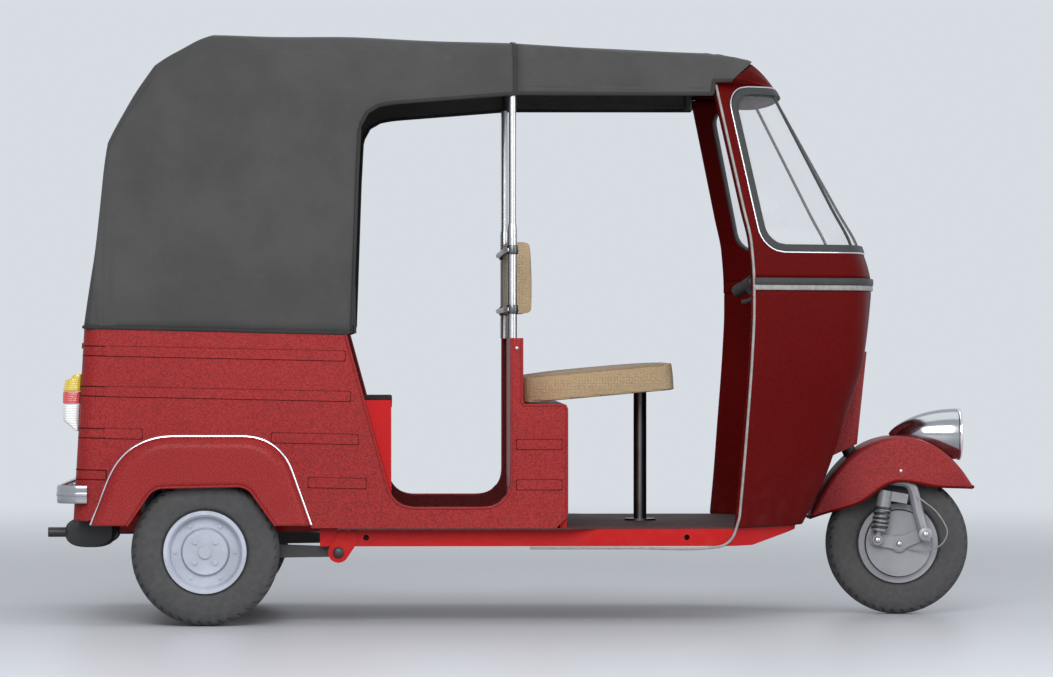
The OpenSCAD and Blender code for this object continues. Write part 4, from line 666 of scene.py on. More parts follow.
class RICKSHAW_OT_stage(bpy.types.Operator):
    """Make the floor, the lamps, the world and the camera"""

    bl_idname = "rickshaw.stage"
    bl_label = "Stage"

    def execute(self, context):
        stage = context.scene.rickshaw_stage
        context.scene.view_settings.view_transform = "Standard"
        self.floor(stage)
        self.world(stage)
        for name, (place, side) in LIGHTS.items():
            light = bpy.data.lights.new(name, "AREA")
            light.energy, light.size = getattr(stage, name), side
            aim(linked(name, light), place, LIGHT_AIM)
        view = bpy.data.cameras.new("photo_camera")
        view.lens, view.sensor_width, view.clip_end = stage.lens, SENSOR, VIEW_END
        context.scene.camera = linked("photo_camera", view)
        aim(context.scene.camera, (REAR_X + CAMERA_X, -stage.distance, CAMERA_Z), CAMERA_AIM)
        return {"FINISHED"}

    def floor(self, stage):
        """Flat square floor that fades out into the background with the distance from the part."""
        side = np.linspace(-FLOOR_REACH, FLOOR_REACH, 9)
        x, y = np.meshgrid(side, side, indexing="ij")
        points, faces = surface(np.stack([x, y, np.zeros_like(x)], -1))
        mesh = bpy.data.meshes.new("floor")
        mesh.from_pydata(points, [], faces)
        floor = linked("floor", mesh)
        f = Finish("floor")
        f.done(Base_Color=tuple(stage.floor), Roughness=0.42, Specular_IOR_Level=0.25)
        far = f.node("ShaderNodeVectorMath", {"operation": "LENGTH"}, {0: f.place}, "Value")
        clear = f.tree.nodes.new("ShaderNodeBsdfTransparent")
        mixed = f.tree.nodes.new("ShaderNodeMixShader")
        f.fill(mixed, {0: f.step(far, FLOOR_REACH * 0.2, FLOOR_REACH * 0.85)})
        f.tree.links.new(f.shader.outputs[0], mixed.inputs[1])
        f.tree.links.new(clear.outputs[0], mixed.inputs[2])
        f.tree.links.new(mixed.outputs[0], f.output.inputs[0])
        mesh.materials.append(f.material)

    def world(self, stage):
        """Pale background for camera, glossy and transmission rays, and an even light for the rest."""
        world = bpy.data.worlds.new("studio")
        world.use_nodes = True
        tree = world.node_tree
        tree.nodes.clear()
        seen, lit = tree.nodes.new("ShaderNodeBackground"), tree.nodes.new("ShaderNodeBackground")
        seen.inputs["Color"].default_value = tuple(stage.background)
        lit.inputs["Color"].default_value = (1.0, 1.0, 1.0, 1.0)
        lit.inputs["Strength"].default_value = stage.ambient
        ray, out = tree.nodes.new("ShaderNodeLightPath"), tree.nodes.new("ShaderNodeOutputWorld")
        mixed = tree.nodes.new("ShaderNodeMixShader")
        link = tree.links.new
        reach = ray.outputs["Is Camera Ray"]
        for name in ("Is Glossy Ray", "Is Transmission Ray"):
            more = tree.nodes.new("ShaderNodeMath")
            more.operation = "MAXIMUM"
            link(reach, more.inputs[0])
            link(ray.outputs[name], more.inputs[1])
            reach = more.outputs[0]
        link(reach, mixed.inputs[0])
        link(lit.outputs[0], mixed.inputs[1])
        link(seen.outputs[0], mixed.inputs[2])
        link(mixed.outputs[0], out.inputs[0])
        bpy.context.scene.world = world


# Cowl and windscreen

COWL_X = WHEELBASE - 0.563
COWL_L = 0.483
COWL_H = 1.526
COWL_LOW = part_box("cowl_lower")[0].z
COWL_WALL = 0.018
BELT_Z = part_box("belt_moulding")[0].z
BELT_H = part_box("belt_moulding")[1].z - BELT_Z
PANE_LOW = 1.052
PANE_HIGH = 1.518
PANE_REAR = (0.131, 0.033)
PANE_R = 0.062
CORNER_START, CORNER_END = 0.2, 0.82
COLUMNS = (9, 12, 16, 16)
PANE_COLUMNS = slice(COLUMNS[0] - 1, 1 - COLUMNS[0])
SILL_ROWS = 8
SPLIT_LIMITS = (0.1, 0.85)
PANE_WALL, JOINT_ROWS = 0.006, 24
BROW_WALL, BROW_RISE, BROW_IN = 0.01, 0.014, 0.008
# The brow's rows under the roof cloth: how far behind its front edge, in rows of its table, and how deep
TUCKS, TUCK_IN = (0.12, 0.25, 0.4), 0.014
# Belt strips: name, lower and upper edge as shares of the belt's height, half thickness, finish
BELT = (("belt_rubber", 0.42, 1.0, 0.007, "seal_rubber"), ("belt_strip", 0.0, 0.42, 0.005, "trim_grey"))

# Rows of [height of COWL_H, rear x, rear half-width, corner x, corner half-width, front x] as shares
COWL_ROWS = np.array([
    [0.178, 0.126, 0.941, 0.542, 0.563, 0.549],
    [0.263, 0.149, 0.958, 0.673, 0.580, 0.685],
    [0.360, 0.172, 0.983, 0.762, 0.610, 0.814],
    [0.505, 0.203, 1.000, 0.886, 0.661, 0.952],
    [0.583, 0.213, 1.000, 0.884, 0.678, 0.988],
    [0.623, 0.213, 1.000, 0.884, 0.678, 0.998],
    [0.704, 0.197, 0.992, 0.818, 0.686, 0.934],
    [0.770, 0.153, 0.960, 0.711, 0.672, 0.818],
    [1.000, 0.000, 0.847, 0.340, 0.622, 0.412]])


def pane_edge(z, inset):
    """Rear edge of the windscreen's opening at each height: a leaning line with a quarter circle at both ends."""
    low, high, r = PANE_LOW + inset, PANE_HIGH - inset, PANE_R - inset / 2
    line = COWL_X + inset + between(PANE_REAR[0], PANE_REAR[1], (z - PANE_LOW) / (PANE_HIGH - PANE_LOW))
    deep = np.clip(np.minimum(z - low, high - z) / r, 0, 1)
    return line + r * (1 - np.sqrt(1 - (1 - deep)**2))


def cowl_grid(z, inset=0.0, inwards=0.0):
    """Cowl surface at the heights z, one row each, from the right rear edge round the nose to the left one. A plan
    is a straight side, a quadratic corner and a parabola across the front, and one column is the pane's edge."""
    s = hermite(z / COWL_H, COWL_ROWS[:, 0], COWL_ROWS[:, 1:])
    a = np.stack([COWL_X + s[:, 0] * COWL_L, s[:, 1] * HALF_W], -1)
    b = np.stack([COWL_X + s[:, 2] * COWL_L, s[:, 3] * HALF_W], -1)
    nose = COWL_X + s[:, 4] * COWL_L
    p = between(b, a, CORNER_START)
    q = np.stack([nose - (nose - b[:, 0]) * CORNER_END**2, b[:, 1] * CORNER_END], -1)
    split = np.clip((pane_edge(z, inset) - a[:, 0]) / (p[:, 0] - a[:, 0]), *SPLIT_LIMITS)
    e = between(a, p, split[:, None])
    t = [np.linspace(0, 1, n)[None, :, None] for n in COLUMNS]
    a, b, p, q, e = (v[:, None] for v in (a, b, p, q, e))
    post, side = between(a, e, t[0]), between(e, p, t[1])
    corner = between(between(p, b, t[2]), between(b, q, t[2]), t[2])
    y = b[..., 1] * CORNER_END * (1 - t[3][..., 0])
    front = np.stack([nose[:, None] - (nose[:, None] - b[..., 0]) * (y / b[..., 1])**2, y], -1)
    half = np.concatenate([post, side[:, 1:], corner[:, 1:], front[:, 1:]], 1)
    plan = np.concatenate([half * (1, -1), half[:, -2::-1]], 1)
    points = np.concatenate([plan, np.broadcast_to(z[:, None, None], plan.shape[:2] + (1,))], -1)
    if inwards:
        along, up = np.gradient(points, axis=1), np.gradient(points, axis=0)
        points = points - inwards * unit(np.cross(along, up))
    return points


def window_heights(inset, count=30):
    """Heights of the windscreen's rows, closer together at its rounded corners."""
    t = np.linspace(0, 1, count)
    return between(PANE_LOW + inset, PANE_HIGH - inset, t - np.sin(math.tau * t) / math.tau * 0.75)


def pane_loop(inset, inwards=0.0):
    """Closed path round the windscreen's opening, with the cowl's outward way at each point."""
    points = cowl_grid(window_heights(inset), inset, inwards)
    outer = cowl_grid(window_heights(inset), inset, inwards - 0.01)
    first, last = COLUMNS[0] - 1, points.shape[1] - COLUMNS[0]

    def walk(grid):
        return np.concatenate([grid[0, first:last], grid[:-1, last], grid[-1, last:first:-1], grid[:0:-1, first]])

    return walk(points), unit(walk(outer) - walk(points))


class RICKSHAW_OT_cowl(bpy.types.Operator):
    """Make the cowl, windscreen frame, header, glass, seal and belt"""

    bl_idname = "rickshaw.cowl"
    bl_label = "Cowl and windscreen"

    def execute(self, context):
        size = sizes()
        paint = "cowl_paint"
        lower = piece("cowl_shell", surface(cowl_grid(np.linspace(COWL_LOW, BELT_Z, 46))), "body", paint,
                      wall=COWL_WALL, bevel=0.004)
        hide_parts("cowl_lower")
        edge = size.seal * 0.8
        z = np.concatenate([np.linspace(BELT_Z + BELT_H, PANE_LOW + edge, SILL_ROWS + 1)[:-1],
                            window_heights(edge), [COWL_H]])
        grid = cowl_grid(z, edge)
        keep = np.ones((grid.shape[0] - 1, grid.shape[1] - 1), bool)
        keep[SILL_ROWS:-1, PANE_COLUMNS] = False
        posts = piece("windscreen_posts", surface(grid, keep=keep), "body", paint, wall=COWL_WALL)
        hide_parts("windscreen_frame")
        inset = size.seal * 0.65
        grid = cowl_grid(window_heights(inset), inset, (COWL_WALL - PANE_WALL) / 2)
        pane = piece("windscreen_pane", surface(grid[:, PANE_COLUMNS]), "body", "screen_glass",
                     wall=PANE_WALL)
        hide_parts("windscreen_glass")
        rubber_parts = []
        for place, deep, lip in ((size.seal * 0.45, -0.0005, bar(size.seal * 1.1, 0.007, 5, 0.35)),
                                 (size.seal * 0.87, COWL_WALL / 2, bar(0.006, COWL_WALL + 0.003, 4, 0.5))):
            loop, out = pane_loop(place, deep)
            rubber_parts.append(beam(loop, lip, out, True))
        seal = piece("windscreen_gasket", rubber_parts, "body", "seal_rubber")
        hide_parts("windscreen_seal")
        loop, out = pane_loop(-0.0025, -0.001)
        piece("gasket_insert", beam(loop, bar(0.005, 0.005, 3, 0.6), out, True), "body", "seal_bead")
        self.belt()
        self.joints()
        self.header(paint)
        return {"FINISHED"}

    def belt(self):
        """Rubber belt with a bright lower strip: two bars carried round the cowl's plan."""
        for name, low, high, stand, skin in BELT:
            z = BELT_Z + BELT_H * (low + high) / 2
            path = cowl_grid(np.array([z - 0.002, z + 0.002]))[0]
            path[:, 2] = z
            profile = bar(2 * stand, BELT_H * (high - low), 4, 0.45)
            piece(name, beam(path, profile), "body", skin)
        backing = cowl_grid(np.linspace(BELT_Z - 0.0005, BELT_Z + BELT_H + 0.0005, 5), 0.0, 0.001)
        piece("belt_backing", surface(backing), "body", "cowl_paint", wall=COWL_WALL - 0.001)
        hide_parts("belt_moulding")

    def joints(self):
        """Dark joint strips up the middle and the two folds of the glass: flat bars along a column of the grid."""
        inset = sizes().seal
        z = window_heights(inset, JOINT_ROWS)
        grid, outer = cowl_grid(z, inset, 0.004), cowl_grid(z, inset, -0.006)
        fold = sum(COLUMNS[:2]) + COLUMNS[2] // 2
        strips = [beam(grid[:, k], bar(0.006, 0.008, 4, 0.5), unit(outer[:, k] - grid[:, k]))
                  for k in (fold, grid.shape[1] // 2, grid.shape[1] - 1 - fold)]
        piece("screen_joints", strips, "body", "seal_rubber")

    def header(self, paint):
        """Brow over the windscreen: a quadratic from the cowl's top edge over a bulge to the roof's front edge,
        and on under the cloth."""
        low = cowl_grid(np.array([COWL_H - 0.001, COWL_H]))[1]
        columns = low.shape[0]
        high = arch_rows(ROOF, np.array([len(ROOF) - 1.0]), columns, None, BROW_IN)[0]
        middle = (low + high) / 2 + (1 - (low[:, 1:2] / HALF_W)**2) * np.array([0, 0, BROW_RISE])
        t = np.linspace(0, 1, 14)[:, None, None]
        tucked = arch_rows(ROOF, len(ROOF) - 1 - np.array(TUCKS), columns, None, TUCK_IN)
        grid = np.concatenate([between(between(low, middle, t), between(middle, high, t), t), tucked])
        brow = piece("header_brow", surface(grid), "body", paint, wall=BROW_WALL)
        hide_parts("header_panel")


# Canopy

HOOD_L = 0.870 + TAIL_X
WAIST_Z, WAIST_FALL = 0.838, 0.017
ROOF_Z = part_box("hood_canopy")[1].z
CROWN, SHOULDER = 0.03, 0.11
DOOR_X, VALANCE_Z = 0.391, 1.496
HOOD_SHARES = np.array([
    [0.0545, 0.000, 0.000, 1.000, 0.0, 0.40],
    [0.0830, 0.051, 0.620, 0.930, 0.3, 0.65],
    [0.1825, 0.1585, 0.892, 0.902, 0.7, 0.90],
    [0.2980, 0.290, 1.000, 0.892, 1.0, 1.0],
    [0.6120, 0.612, 0.994, 0.884, 1.0, 1.0],
    [1.0000, 1.000, 0.974, 0.876, 1.0, 1.0]])


def waist(x):
    """Height of the body's waist: a straight fall from the rear wall to the door."""
    return WAIST_Z - WAIST_FALL * (x + TAIL_X) / (DOOR_X + TAIL_X)


def hood_table():
    """Hood arches, rear to front: hem x, z and half-width, ridge x and z, corner half-width, drop and radius."""
    s = HOOD_SHARES
    x = s[:, 0] * HOOD_L - TAIL_X
    return np.stack([x, waist(x), np.full(len(s), HALF_W), s[:, 1] * HOOD_L - TAIL_X,
                     between(WAIST_Z, ROOF_Z, s[:, 2]), s[:, 3] * HALF_W, s[:, 4] * CROWN, s[:, 5] * SHOULDER], -1)


HOOD = hood_table()


def roof_table():
    """Roof arches from the hood's seam to the front edge, in the same columns."""
    seam = HOOD[-1]
    wide = between(seam[2], seam[5], (VALANCE_Z - seam[1]) / (seam[4] - seam[6] - seam[1]))
    return np.array([
        [seam[0], VALANCE_Z, wide, seam[3], seam[4], seam[5], seam[6], seam[7]],
        [1.426, VALANCE_Z, HALF_W * 0.878, 1.418, 1.638, HALF_W * 0.845, CROWN, SHOULDER],
        [1.432, 1.533, HALF_W * 0.866, 1.470, 1.6335, HALF_W * 0.825, CROWN, SHOULDER * 0.9],
        [1.483, 1.536, HALF_W * 0.852, 1.545, 1.620, HALF_W * 0.79, CROWN, SHOULDER * 0.7]])


ROOF = roof_table()
EASE = 0.45
FACET, FACET_ROUND = 0.36, 0.18
KNEE_RISE, KNEE_SHIFT = 0.2, 0.15
# Columns of half an arch: the shoulder's and the top's, each with both of its ends; the side takes the rest
TURN_COLUMNS, TOP_COLUMNS = 9, 11


def bent(before, corner, after):
    """Three points that round a corner off on the way from before to after."""
    first, last = between(corner, before, FACET_ROUND), between(corner, after, FACET_ROUND)
    return [first, (first + last + 2 * corner) / 4, last]


def arch_points(row, columns, start=None, inwards=0.0):
    """Arches over the cabin, one for each row of the table: a straight side from the hem, a flat facet that cuts the
    shoulder off, with its two edges rounded, and a top that rises to the ridge by a parabola. start is a height at
    which the side begins, above the hem."""
    hem = np.stack([row[:, 0], row[:, 2] - inwards, row[:, 1]], -1)
    top = np.stack([row[:, 3], 0 * row[:, 3], row[:, 4] - inwards], -1)
    knee = np.stack([row[:, 3], row[:, 5] - inwards, top[:, 2] - row[:, 6]], -1)
    rise = np.clip((knee[:, 2] - hem[:, 2]) / KNEE_RISE, 0, 1)
    knee[:, 0] = between(knee[:, 0], (hem[:, 0] + knee[:, 0]) / 2, KNEE_SHIFT * rise)
    reach = np.minimum(row[:, 7], np.linalg.norm(hem - knee, axis=1) * 0.8)[:, None]
    p, q = knee + unit(hem - knee) * reach, knee + unit(top - knee) * reach
    if start is not None:
        hem = between(hem, p, np.clip((start - hem[:, 2]) / (p[:, 2] - hem[:, 2]), 0, 1)[:, None])
    side_columns = (columns + 1) // 2 - (TURN_COLUMNS - 1) - (TOP_COLUMNS - 1)
    t = [np.linspace(0, 1, n)[None, :, None] for n in (side_columns, TOP_COLUMNS)]
    hem, p, q, knee, top = (v[:, None] for v in (hem, p, q, knee, top))
    side = between(hem, p, t[0])
    low, high = between(knee, p, FACET), between(knee, q, FACET)
    turn = np.concatenate([p] + bent(p, low, high) + [(low + high) / 2] + bent(low, high, q) + [q], 1)
    over = between(q, top, t[1]) + (t[1] * (1 - t[1])) * row[:, 6][:, None, None] / 2 * (0, 0, 1)
    right = np.concatenate([side, turn[:, 1:], over[:, 1:]], 1)
    return np.concatenate([right * (1, -1, 1), right[:, -2::-1]], 1)


def table_at(table, at):
    """Rows of a table between its own ones: a mix of a straight line and a monotone cubic."""
    knots = np.arange(len(table), dtype=float)
    straight = np.stack([np.interp(at, knots, column) for column in table.T], -1)
    return between(straight, hermite(at, knots, table), EASE)


def arch_rows(table, at, columns, start=None, inwards=0.0):
    """Arches at the places at, counted in rows of the table."""
    return arch_points(table_at(table, at), columns, start, inwards)


HOOD_COLUMNS = 81
HOOD_ROWS, CORNER_ROWS, DOOR_ROWS, ROOF_ROWS = 64, 10, 18, 52
DOOR_EDGE = np.array([[0.410, 0.0], [0.426, 1.368], [0.433, 1.412], [0.455, 1.446], [0.490, 1.464], [0.530, 1.4695],
                      [0.870, 1.496]])
PANE_W, PANE_Z, PANE_AHEAD = 0.62, (1.01, 1.27), -0.2
CABIN_MIDDLE = (0.4, 0, 1.0)
RIPPLE, RIPPLE_ROWS, RIPPLE_COLUMNS, RIPPLE_END = 0.0012, 9.0, 46.0, 3.2


class RICKSHAW_OT_canopy(bpy.types.Operator):
    """Make the hood and roof cloth, their welts, seam and clear rear pane"""

    bl_idname = "rickshaw.canopy"
    bl_label = "Canopy"

    def execute(self, context):
        size = sizes()
        cloth, edge = "canopy_cloth", "canopy_edge"
        grid = self.hood_grid(size)
        middle = HOOD_COLUMNS // 2
        pane_rows = np.flatnonzero((grid[:, middle, 2] > PANE_Z[0]) & (grid[:, middle, 2] < PANE_Z[1])
                                   & (grid[:, middle, 0] < PANE_AHEAD))
        side = np.abs(grid[pane_rows[0], :, 1])
        pane_cols = np.flatnonzero(side < PANE_W / 2)
        r0, r1, c0, c1 = pane_rows[0] - 1, pane_rows[-1] + 1, pane_cols[0] - 1, pane_cols[-1] + 1
        keep = np.ones((grid.shape[0] - 1, HOOD_COLUMNS - 1), bool)
        keep[r0:r1, c0:c1] = False
        hood = piece("hood_cloth", surface(grid, keep=keep), "body", cloth, wall=size.cloth)
        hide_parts("hood_canopy")
        window = grid[r0:r1 + 1, c0:c1 + 1]
        clear = piece("rear_pane", surface(window + (0.002, 0, 0)), "body", "clear_sheet",
                      wall=0.0015)
        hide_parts("rear_window")
        frame_path = np.concatenate([window[0, :-1], window[:-1, -1], window[-1, :0:-1], window[:0:-1, 0]])
        welt = piece("pane_welt", beam(frame_path, bar(0.028, 0.008, 5, 0.5), (-1, 0, 0.1), True), "body", edge)
        hem = np.concatenate([grid[::-1, 0], grid[0, 1:-1], grid[:, -1]])
        hood_welt = piece("hood_welt", rod(even_path(hem, 260), size.welt, (0.3, 0.2, 1)), "body", edge)
        roof_at = np.linspace(0, len(ROOF) - 1, ROOF_ROWS)
        roof_grid = self.sagged(arch_rows(ROOF, roof_at, HOOD_COLUMNS), roof_at, size.sag * (roof_at < 1))
        roof = piece("roof_cloth", surface(roof_grid), "body", cloth, wall=size.cloth)
        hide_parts("roof_canopy")
        roof_hem = [roof_grid[:, 0], roof_grid[:, -1]]
        roof_welt = piece("roof_welt", [rod(p, size.welt, (0.2, 0.1, 1)) for p in roof_hem], "body", edge)
        lap = roof_grid[0] + (0, 0, 0.0015)
        seam = piece("canopy_seam", beam(lap, bar(0.012, 0.003, 4, 0.5), self.outward(roof_grid)[0]), "body", edge)
        self.area(grid, keep)
        self.area(roof_grid)
        self.area(window)
        return {"FINISHED"}

    def hood_grid(self, size):
        """Hood rows from the rear hem to the seam; past the door's rear edge a row starts at the door's top edge."""
        door = DOOR_EDGE
        ahead = np.concatenate([np.linspace(HOOD[3, 0], door[0, 0], CORNER_ROWS)[1:], door[1:6, 0],
                                np.linspace(door[5, 0], door[6, 0], DOOR_ROWS)[1:]])
        at = np.concatenate([np.linspace(0, 3, HOOD_ROWS), np.interp(ahead, HOOD[3:, 0], [3, 4, 5])])
        x, hem = table_at(HOOD, at)[:, :2].T
        start = np.where(x < door[0, 0] + 1e-6, hem, np.maximum(np.interp(x, door[:, 0], door[:, 1]), hem))
        return self.sagged(arch_rows(HOOD, at, HOOD_COLUMNS, start), at, size.sag)

    def outward(self, grid):
        """Unit ways out of the cabin at each point of a canopy grid."""
        way = unit(np.cross(np.gradient(grid, axis=0), np.gradient(grid, axis=1)))
        return way * np.where((way * (grid - CABIN_MIDDLE)).sum(-1, keepdims=True) < 0, -1, 1)

    def sagged(self, grid, at, sag):
        """The same grid, sunk by half a sine between two bows, least at the hems, with slow ripples at the rear."""
        way = self.outward(grid)
        column = np.linspace(0, 1, grid.shape[1])
        across = np.sin(math.pi * column)**0.5
        dip = np.sin(math.pi * (at % 1.0))**2
        rear = np.sin(at * RIPPLE_ROWS) * np.clip(RIPPLE_END - at, 0, 1)
        ripple = rear[:, None] * np.sin(column * RIPPLE_COLUMNS)[None]
        depth = (sag * dip)[:, None] * across + RIPPLE * ripple * across
        return grid - way * depth[..., None]

    def area(self, grid, keep=None):
        """Area of a grid's cells, from the cross products of their diagonals."""
        cells = np.linalg.norm(np.cross(grid[1:, 1:] - grid[:-1, :-1], grid[1:, :-1] - grid[:-1, 1:]), axis=-1) / 2
        return float((cells if keep is None else cells[keep]).sum())


# Rear body

FLARE_BACK, FLARE_AHEAD, FLARE_LOW, FLARE_TOP = 0.319, 0.295, 0.283, 0.531
FLARE_OUT, FLARE_ROUND, FLARE_TAPER, FLARE_SKIRT = 0.06, 0.016, 0.7, 0.45
FLARE_RADII, FLARE_POINTS = (0.2, 0.15), 90
MOUTH = ((-0.68, 0.0), (-0.45, 0.43), (0.40, 0.45), (0.67, 0.0))
MOUTH_R = 0.055
TAIL_LEAN = math.radians(3.2)
CORNER_R, POST_Z, BOX_X0, BOX_X1 = 0.0453, 0.807, 0.858, 1.013
SWAGE_H, SWAGE_FALL = 0.027, math.radians(1.2)
# Swages of the side walls: [rear end, front end, height] as shares of the wall's length and the waist's height
SWAGES = ((0.08, 1.0, 0.920), (0.08, 1.02, 0.785), (0.08, 0.225, 0.645), (0.08, 0.088, 0.506), (0.72, 1.05, 0.630),
          (0.86, 1.08, 0.480))
SWAGE_ROD, SWAGE_STAND, SWAGE_END = 0.0015, 0.0006, 0.014
# Edges of the doorway and of the box behind the driver, in x and z, with the radii of their inner corners
DOORWAY = ((0.391, 0.821), (0.525, 0.33), (0.858, 0.33), (0.858, 0.807)), (0.085, 0.085)
BOX_EDGE = ((0.887, 0.807), (0.887, 0.619), (1.013, 0.619), (1.013, 0.308), (0.979, 0.274)), (0.008, 0.012, 0.012)
# The grey bead's way from the cowl's foot back under the floor, on the left
SILL = np.array([[1.492, 0.552, 0.272], [1.481, 0.551, 0.244], [1.46, 0.55, 0.225], [1.425, 0.549, 0.217],
                 [1.2, 0.548, 0.216], [0.91, 0.548, 0.216]])
BUMPER_ROUND, STAY_SHARE, STAY_R = 0.06, 0.6, 0.011
LENS_W, LENS_D, LENS_Y = 0.07, 0.052, 0.5
# Colours of a tail lens up its height, as shares
LENS_PARTS = {"amber": (0.7, 1.0), "red": (0.48, 0.694), "clear": (0.0, 0.474)}
LID_DROP, LID_H, LOUVRE_PITCHES = 0.068, 0.35, 9
LOUVRES, LOUVRE_FIRST, LOUVRE_LIFT, LOUVRE_Y, LOUVRE_HALF, LOUVRE_POINTS = 6, 2, 0.0105, 0.21, 0.153, 24
POST_SWAGES = (0.63, 0.49)
CORNER_SHARE, REAR_SWAGE_Y = 0.1, 0.44
# Depth of a tail lens up its height, as shares, with a small dome on the top
LENS_DEPTH = ((0.0, 0.18, 0.45, 0.7, 0.905, 0.92, 0.97, 1.0), (0.15, 0.88, 0.97, 1.0, 0.88, 0.58, 0.54, 0.4))
SILENCER_X, SILENCER_HALF, FEED_Y = -0.3355, 0.0695, -0.12
PIPE_R, PIPE_BORE = 0.014, 0.0115


def flare_outline(inset):
    """Side outline of a flare, from its rear foot over the wheel to its front foot, in x and z."""
    corners = [[inset - FLARE_BACK, FLARE_LOW], [inset - FLARE_BACK * FLARE_TAPER, FLARE_TOP - inset],
               [FLARE_AHEAD * FLARE_TAPER - inset, FLARE_TOP - inset], [FLARE_AHEAD - inset, FLARE_LOW]]
    return even_path(rounded(corners, [r - inset for r in FLARE_RADII], 20), FLARE_POINTS)


def flare_mouth():
    """Outline of the opening in a flare's outer face."""
    corners = [[s * (FLARE_BACK if s < 0 else FLARE_AHEAD), between(FLARE_LOW, FLARE_TOP, t)] for s, t in MOUTH]
    return even_path(rounded(corners, [MOUTH_R] * 2, 16), FLARE_POINTS)


class RICKSHAW_OT_rear_body(bpy.types.Operator):
    """Make the wheel flares, edge beads, bumper and tail lamps"""

    bl_idname = "rickshaw.rear_body"
    bl_label = "Rear body trim"

    def execute(self, context):
        size = sizes()
        self.flares(size)
        self.door_rolls(size)
        self.sill_bead(size)
        self.bumper()
        self.tail_lamps()
        self.lid_hoods()
        self.swages()
        self.silencer()
        return {"FINISHED"}

    def flares(self, size):
        """Flares: a quarter-round from the body out to a flat face, which runs to the wheel's opening."""
        turn = np.linspace(0, math.pi / 2, 12)
        insets = np.concatenate([[0.0], 2 * FLARE_ROUND * (1 - np.cos(turn))])
        outs = FLARE_OUT * np.concatenate([[0.0], between(FLARE_SKIRT, 1, np.sin(turn))])
        skins, beads, lips = [], [], []
        mouth = flare_mouth()
        for side in SIDES:
            rows = [np.stack([o[:, 0], np.full(len(o), side * (HALF_W + out)), o[:, 1]], -1)
                    for o, out in ((flare_outline(i), d) for i, d in zip(insets, outs))]
            edge = np.stack([mouth[:, 0], np.full(len(mouth), side * (HALF_W + FLARE_OUT)), mouth[:, 1]], -1)
            rows += [between(rows[-1], edge, t) for t in np.linspace(0, 1, 8)[1:]]
            skins.append(surface(np.array(rows)))
            base = rows[0].copy()
            base[:, 1] = side * (HALF_W + 0.003)
            beads.append(rod(base, size.bead * 1.1, (0, 1, 0)))
            lips.append(rod(edge, size.bead * 0.7, (0, 1, 0)))
        flares = piece("wheel_flare_skins", skins, "body", "panel_paint", wall=0.004)
        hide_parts("wheel_flares")
        piece("flare_beads", beads, "body", "chrome")
        piece("flare_lips", lips, "body", "panel_paint")

    def door_rolls(self, size):
        """Rolled edges: a rod along the doorway of each side panel, and one along the box behind the driver."""
        line, box = rounded(*DOORWAY, 14), rounded(*BOX_EDGE, 6)
        rolls = [rod(np.stack([p[:, 0], np.full(len(p), side * (HALF_W - 0.001)), p[:, 1]], -1), size.bead * 0.8,
                     (0, 1, 0)) for side in SIDES for p in (even_path(line, 120), even_path(box, 60))]
        piece("panel_rolls", rolls, "body", "panel_paint")

    def sill_bead(self, size):
        """Grey bead down the cowl's rear edge and back under the floor: one smooth path on each side."""
        z = np.linspace(COWL_H - 0.004, COWL_LOW + 0.03, 40)
        rear = cowl_grid(z[::-1])[::-1]
        beads = []
        for column, side in ((0, RIGHT), (-1, LEFT)):
            edge = rear[:, column]
            tail = smooth_path(np.concatenate([edge[-1:], SILL * (1, side, 1)]), 60)
            beads.append(rod(even_path(np.concatenate([edge, tail[1:]]), 160), size.bead * 0.75, (0, 1, 0)))
        piece("edge_bead", beads, "body", "trim_grey")

    def bumper(self):
        """Chrome bumper: a rounded channel carried round the tail, with its two stays."""
        low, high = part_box("rear_bumper")
        z, y = (low.z + high.z) / 2, high.y - 0.006
        back, front = low.x - REAR_X + 0.006, high.x - REAR_X - 0.004
        path = rounded([[front, -y, z], [back, -y, z], [back, y, z], [front, y, z]], [BUMPER_ROUND] * 2, 14)
        path = even_path(path, 140)
        skin = beam(path, bar(0.012, high.z - low.z, 8, 0.42))
        rib = beam(path + self.away(path) * 0.0045, bar(0.006, 0.012, 4, 0.6))
        stays = [rod(np.array([[back + 0.004, y, z], [-TAIL_X - 0.028, y, z]]), STAY_R)
                 for y in (side * STAY_SHARE * HALF_W for side in SIDES)]
        bumper = piece("bumper_bar", [skin, rib] + stays, "body", "lamp_chrome")
        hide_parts("rear_bumper")

    def away(self, path):
        """Unit way to the left of a level path."""
        ahead = unit(np.gradient(path, axis=0))
        return np.stack([-ahead[:, 1], ahead[:, 0], 0 * ahead[:, 0]], -1)

    def tail_lamps(self):
        """Tail lamps: a rounded section whose depth follows a table up the lens, cut in three colours."""
        low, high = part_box("tail_lamps")
        section = bar(2.0, 1.0, 8, 0.42)
        first = None
        for name, (a, b) in LENS_PARTS.items():
            t = np.concatenate([[a], np.linspace(a, b, 24), [b]])
            ends = np.clip(np.minimum(t - a, b - t) / 0.03, 0, 1)
            scale = 0.93 + 0.07 * np.sqrt(1 - (1 - ends)**2)
            scale[[0, -1]] = 0.0
            z, depth = between(low.z, high.z, t), LENS_D * np.interp(t, *LENS_DEPTH) * scale
            wall_x = -TAIL_X + (z - WAIST_Z) * math.tan(TAIL_LEAN)
            x = wall_x[:, None] - (section[None, :, 0] * 0.5 + 0.5) * depth[:, None]
            y = LENS_Y + section[None, :, 1] * LENS_W * scale[:, None]
            grid = np.stack(np.broadcast_arrays(x, y, z[:, None]), -1)
            lenses = [surface(grid * (1, side, 1), (False, True)) for side in SIDES]
            made = piece("tail_lens_" + name, lenses, "body", "lens_" + name)
            first = first or made
        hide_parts("tail_lamps")

